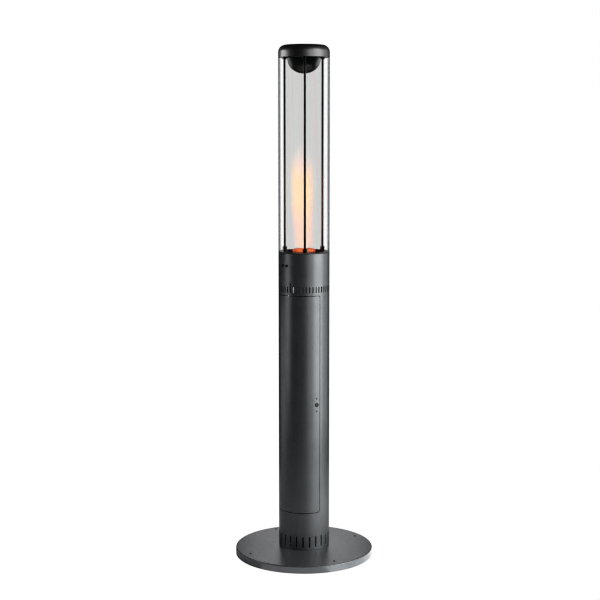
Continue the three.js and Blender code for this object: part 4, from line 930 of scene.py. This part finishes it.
# ------------------------------------------------------------------ room, lights and camera
world = bpy.data.worlds.new("studio")
scene.world = world
world.use_nodes = True
wt = world.node_tree
wt.nodes.clear()
path = wt.nodes.new("ShaderNodeLightPath")
seen, dim, soft_ = (wt.nodes.new("ShaderNodeBackground") for _ in range(3))
seen.inputs["Color"].default_value, seen.inputs["Strength"].default_value = (1, 1, 1, 1), 1.0
dim.inputs["Color"].default_value, dim.inputs["Strength"].default_value = (0.9, 0.95, 1.0, 1), 0.02
soft_.inputs["Color"].default_value, soft_.inputs["Strength"].default_value = (0.96, 0.98, 1.0, 1), 0.09
m1, m2 = wt.nodes.new("ShaderNodeMixShader"), wt.nodes.new("ShaderNodeMixShader")
wt.links.new(path.outputs["Is Glossy Ray"], m1.inputs["Fac"])
wt.links.new(soft_.outputs[0], m1.inputs[1])
wt.links.new(dim.outputs[0], m1.inputs[2])
wt.links.new(path.outputs["Is Camera Ray"], m2.inputs["Fac"])
wt.links.new(m1.outputs[0], m2.inputs[1])
wt.links.new(seen.outputs[0], m2.inputs[2])
outw = wt.nodes.new("ShaderNodeOutputWorld")
wt.links.new(m2.outputs[0], outw.inputs["Surface"])


def floor_material(name, glow):
    m, nt, p = nodes_of(name)
    v = coordinates(nt)
    nt.links.new(ramp(nt, noise_of(nt, v, 3.0, 3.0), [(0.3, (0.48, 0.48, 0.48)), (0.7, (0.52, 0.52, 0.52))]), p.inputs["Base Color"])
    p.inputs["Roughness"].default_value = 0.9
    p.inputs["Specular IOR Level"].default_value = 0.0
    p.inputs["Emission Color"].default_value = (1, 1, 1, 1)
    p.inputs["Emission Strength"].default_value = glow
    pale, path_, both = nt.nodes.new("ShaderNodeEmission"), nt.nodes.new("ShaderNodeLightPath"), nt.nodes.new("ShaderNodeMixShader")
    pale.inputs["Strength"].default_value = 1.0
    nt.links.new(path_.outputs["Is Camera Ray"], both.inputs["Fac"])
    nt.links.new(p.outputs["BSDF"], both.inputs[1])
    nt.links.new(pale.outputs["Emission"], both.inputs[2])
    nt.links.new(both.outputs["Shader"], nt.nodes["Material Output"].inputs["Surface"])
    m.cycles.emission_sampling = "NONE"
    return m


def flat_ring(name, r0, r1, material, segs=128):
    bm = bmesh.new()
    inner = [bm.verts.new((r0 * math.cos(2 * math.pi * k / segs), r0 * math.sin(2 * math.pi * k / segs), 0)) for k in range(segs)] if r0 else None
    outer = [bm.verts.new((r1 * math.cos(2 * math.pi * k / segs), r1 * math.sin(2 * math.pi * k / segs), 0)) for k in range(segs)]
    if inner is None:
        bm.faces.new(outer)
    else:
        for k in range(segs):
            j = (k + 1) % segs
            bm.faces.new((inner[k], outer[k], outer[j], inner[j]))
    me = bpy.data.meshes.new(name)
    bm.to_mesh(me)
    bm.free()
    me.materials.append(material)
    o = bpy.data.objects.new(name, me)
    scene.collection.objects.link(o)
    return o


floor_mat = floor_material("pale_floor", 0.07)
near = flat_ring("floor_near", 0, 1.5, floor_mat)
far = flat_ring("floor_far", 1.5, 80.0, floor_mat)
far.visible_glossy = False


def softbox(name, az, distance, z, width, height, strength, aim_z=None, only=None, without=None, colour=(1, 1, 1)):
    """A rectangular light whose face has the stated radiance, aimed at the object's axis."""
    l = bpy.data.lights.new(name, "AREA")
    l.shape, l.size, l.size_y = "RECTANGLE", width, height
    l.energy = strength * math.pi * width * height
    l.color = colour
    o = bpy.data.objects.new(name, l)
    scene.collection.objects.link(o)
    o.location = out(az) * distance + Vector((0, 0, z))
    o.rotation_mode = "QUATERNION"
    o.rotation_quaternion = (Vector((0, 0, z if aim_z is None else aim_z)) - o.location).to_track_quat("-Z", "Y")
    o.visible_camera = False
    if only or without:
        c = bpy.data.collections.new(name + "_light")
        for x in only or without:
            c.objects.link(x)
        o.light_linking.receiver_collection = c
        if without:
            for e in c.collection_objects:
                e.light_linking.link_state = "EXCLUDE"
    return o


clear_things = [glass]
inner_things = [o for o in bpy.data.objects if o.name.startswith(("deflector_dome", "tie_rod_bar"))]
rod_things = [o for o in bpy.data.objects if o.name.startswith("tie_rod_bar")]
base_things = [o for o in bpy.data.objects if o.name.startswith(("base_cover_skin", "base_screw_head"))]
inside_things = [o for o in bpy.data.objects if o.name.startswith(("gas_", "flame_lever_blade", "burner_pipe", "mixer_tube", "piezo", "tilt_switch", "spark", "flame_probe", "divider", "valve_bracket", "burner_deck", "safety_button", "igniter_button", "head_plate", "dome_nut", "rod_nut"))]
dark_things = clear_things + inner_things + inside_things
cap_things = [o for o in bpy.data.objects if o.name.startswith("cap_")]
softbox("key_right", 68, 1.9, 1.5, 1.65, 2.7, 5.2, without=dark_things)
softbox("key_wing_front", 30, 2.0, 1.5, 0.95, 2.8, 1.3, without=dark_things)
softbox("key_wing_back", 110, 2.0, 1.5, 0.95, 2.8, 1.3, without=dark_things)
softbox("cap_front", 30, 2.0, 2.5, 0.8, 0.9, 2.2, aim_z=2.2, only=cap_things)
softbox("cap_right", 62, 2.0, 3.0, 1.3, 0.9, 5.0, aim_z=2.2, only=cap_things)
softbox("cap_left", -100, 2.0, 2.15, 1.2, 0.9, 7.0, aim_z=2.2, only=cap_things)
softbox("fill_left", -77, 2.0, 1.4, 0.8, 2.0, 1.5, without=dark_things + cap_things)
softbox("fill_left_low", -106, 2.0, 0.42, 1.3, 0.84, 0.62, without=dark_things + cap_things)


def lie_flat(light, az):
    """Turns a softbox so that it lies over the floor and shines down on it."""
    light.rotation_quaternion = Matrix(((side(az).x, -out(az).x, 0), (side(az).y, -out(az).y, 0), (0, 0, 1))).to_quaternion()


def glow_patch(name, az, distance, size, strength, only):
    """A round patch of lit floor, as the base's rim sees it."""
    o = softbox(name, az, distance, 0.0015, size, size, strength, only=only)
    o.data.shape = "DISK"
    o.rotation_quaternion = Vector((0, 0, 1)).to_track_quat("-Z", "Y")


lie_flat(softbox("key_floor", 68, 1.4, 0.012, 1.3, 1.8, 3.1, without=dark_things + base_things), 68)
glow_patch("rim_front", 0, 0.70, 1.0, 0.5, base_things)
glow_patch("rim_right", 75, 0.62, 1.0, 1.7, base_things)
softbox("base_back", 180, 2.4, 1.15, 0.92, 1.5, 1.22, aim_z=0.1, only=base_things)
softbox("glass_strip_right", 120, 1.6, 1.72, 0.9, 2.4, 1.1, only=clear_things)
softbox("glass_strip_left", -120, 1.6, 1.72, 0.9, 2.4, 1.1, only=clear_things)
softbox("edge_strip_right", 128, 1.6, 2.25, 1.0, 1.8, 3.0, only=inner_things)
softbox("edge_strip_left", -128, 1.6, 2.25, 1.0, 1.8, 2.1, only=inner_things)
bracket_things = [o for o in bpy.data.objects if o.name == "valve_bracket"]
softbox("bracket_left", -50, 1.2, 1.35, 0.5, 1.0, 1.4, aim_z=1.18, only=bracket_things)
softbox("bracket_right", 53, 1.2, 1.35, 0.5, 1.0, 1.4, aim_z=1.18, only=bracket_things)


def ember(name, location, radius, power, colour, only):
    """A small round light that stands for glowing gas or for light between inner parts."""
    l = bpy.data.lights.new(name, "POINT")
    l.shadow_soft_size, l.energy, l.color = radius, power, colour
    o = bpy.data.objects.new(name, l)
    scene.collection.objects.link(o)
    o.location = location
    o.visible_camera = False
    c = bpy.data.collections.new(name + "_light")
    for x in only:
        c.objects.link(x)
    o.light_linking.receiver_collection = c
    return o


for k, z in enumerate((1.44, 1.54, 1.63)):
    ember(f"flame_light_{k + 1}", (-0.004, 0, z), 0.040, 0.9, (1.0, 0.30, 0.22), rod_things)

cam = bpy.data.cameras.new("camera")
cam.lens, cam.sensor_width = 80.247, 36.0
cam_o = bpy.data.objects.new("camera", cam)
scene.collection.objects.link(cam_o)
cam_o.location = (0, -5.7344, 1.8484)
cam_o.rotation_euler = (math.radians(90 - 7.1973), math.radians(0.03), math.radians(0.1690))
cam.clip_start, cam.clip_end = 0.05, 200
scene.camera = cam_o
scene.view_settings.view_transform = "Standard"
scene.cycles.transparent_max_bounces = 48
scene.cycles.filter_width = 1.2
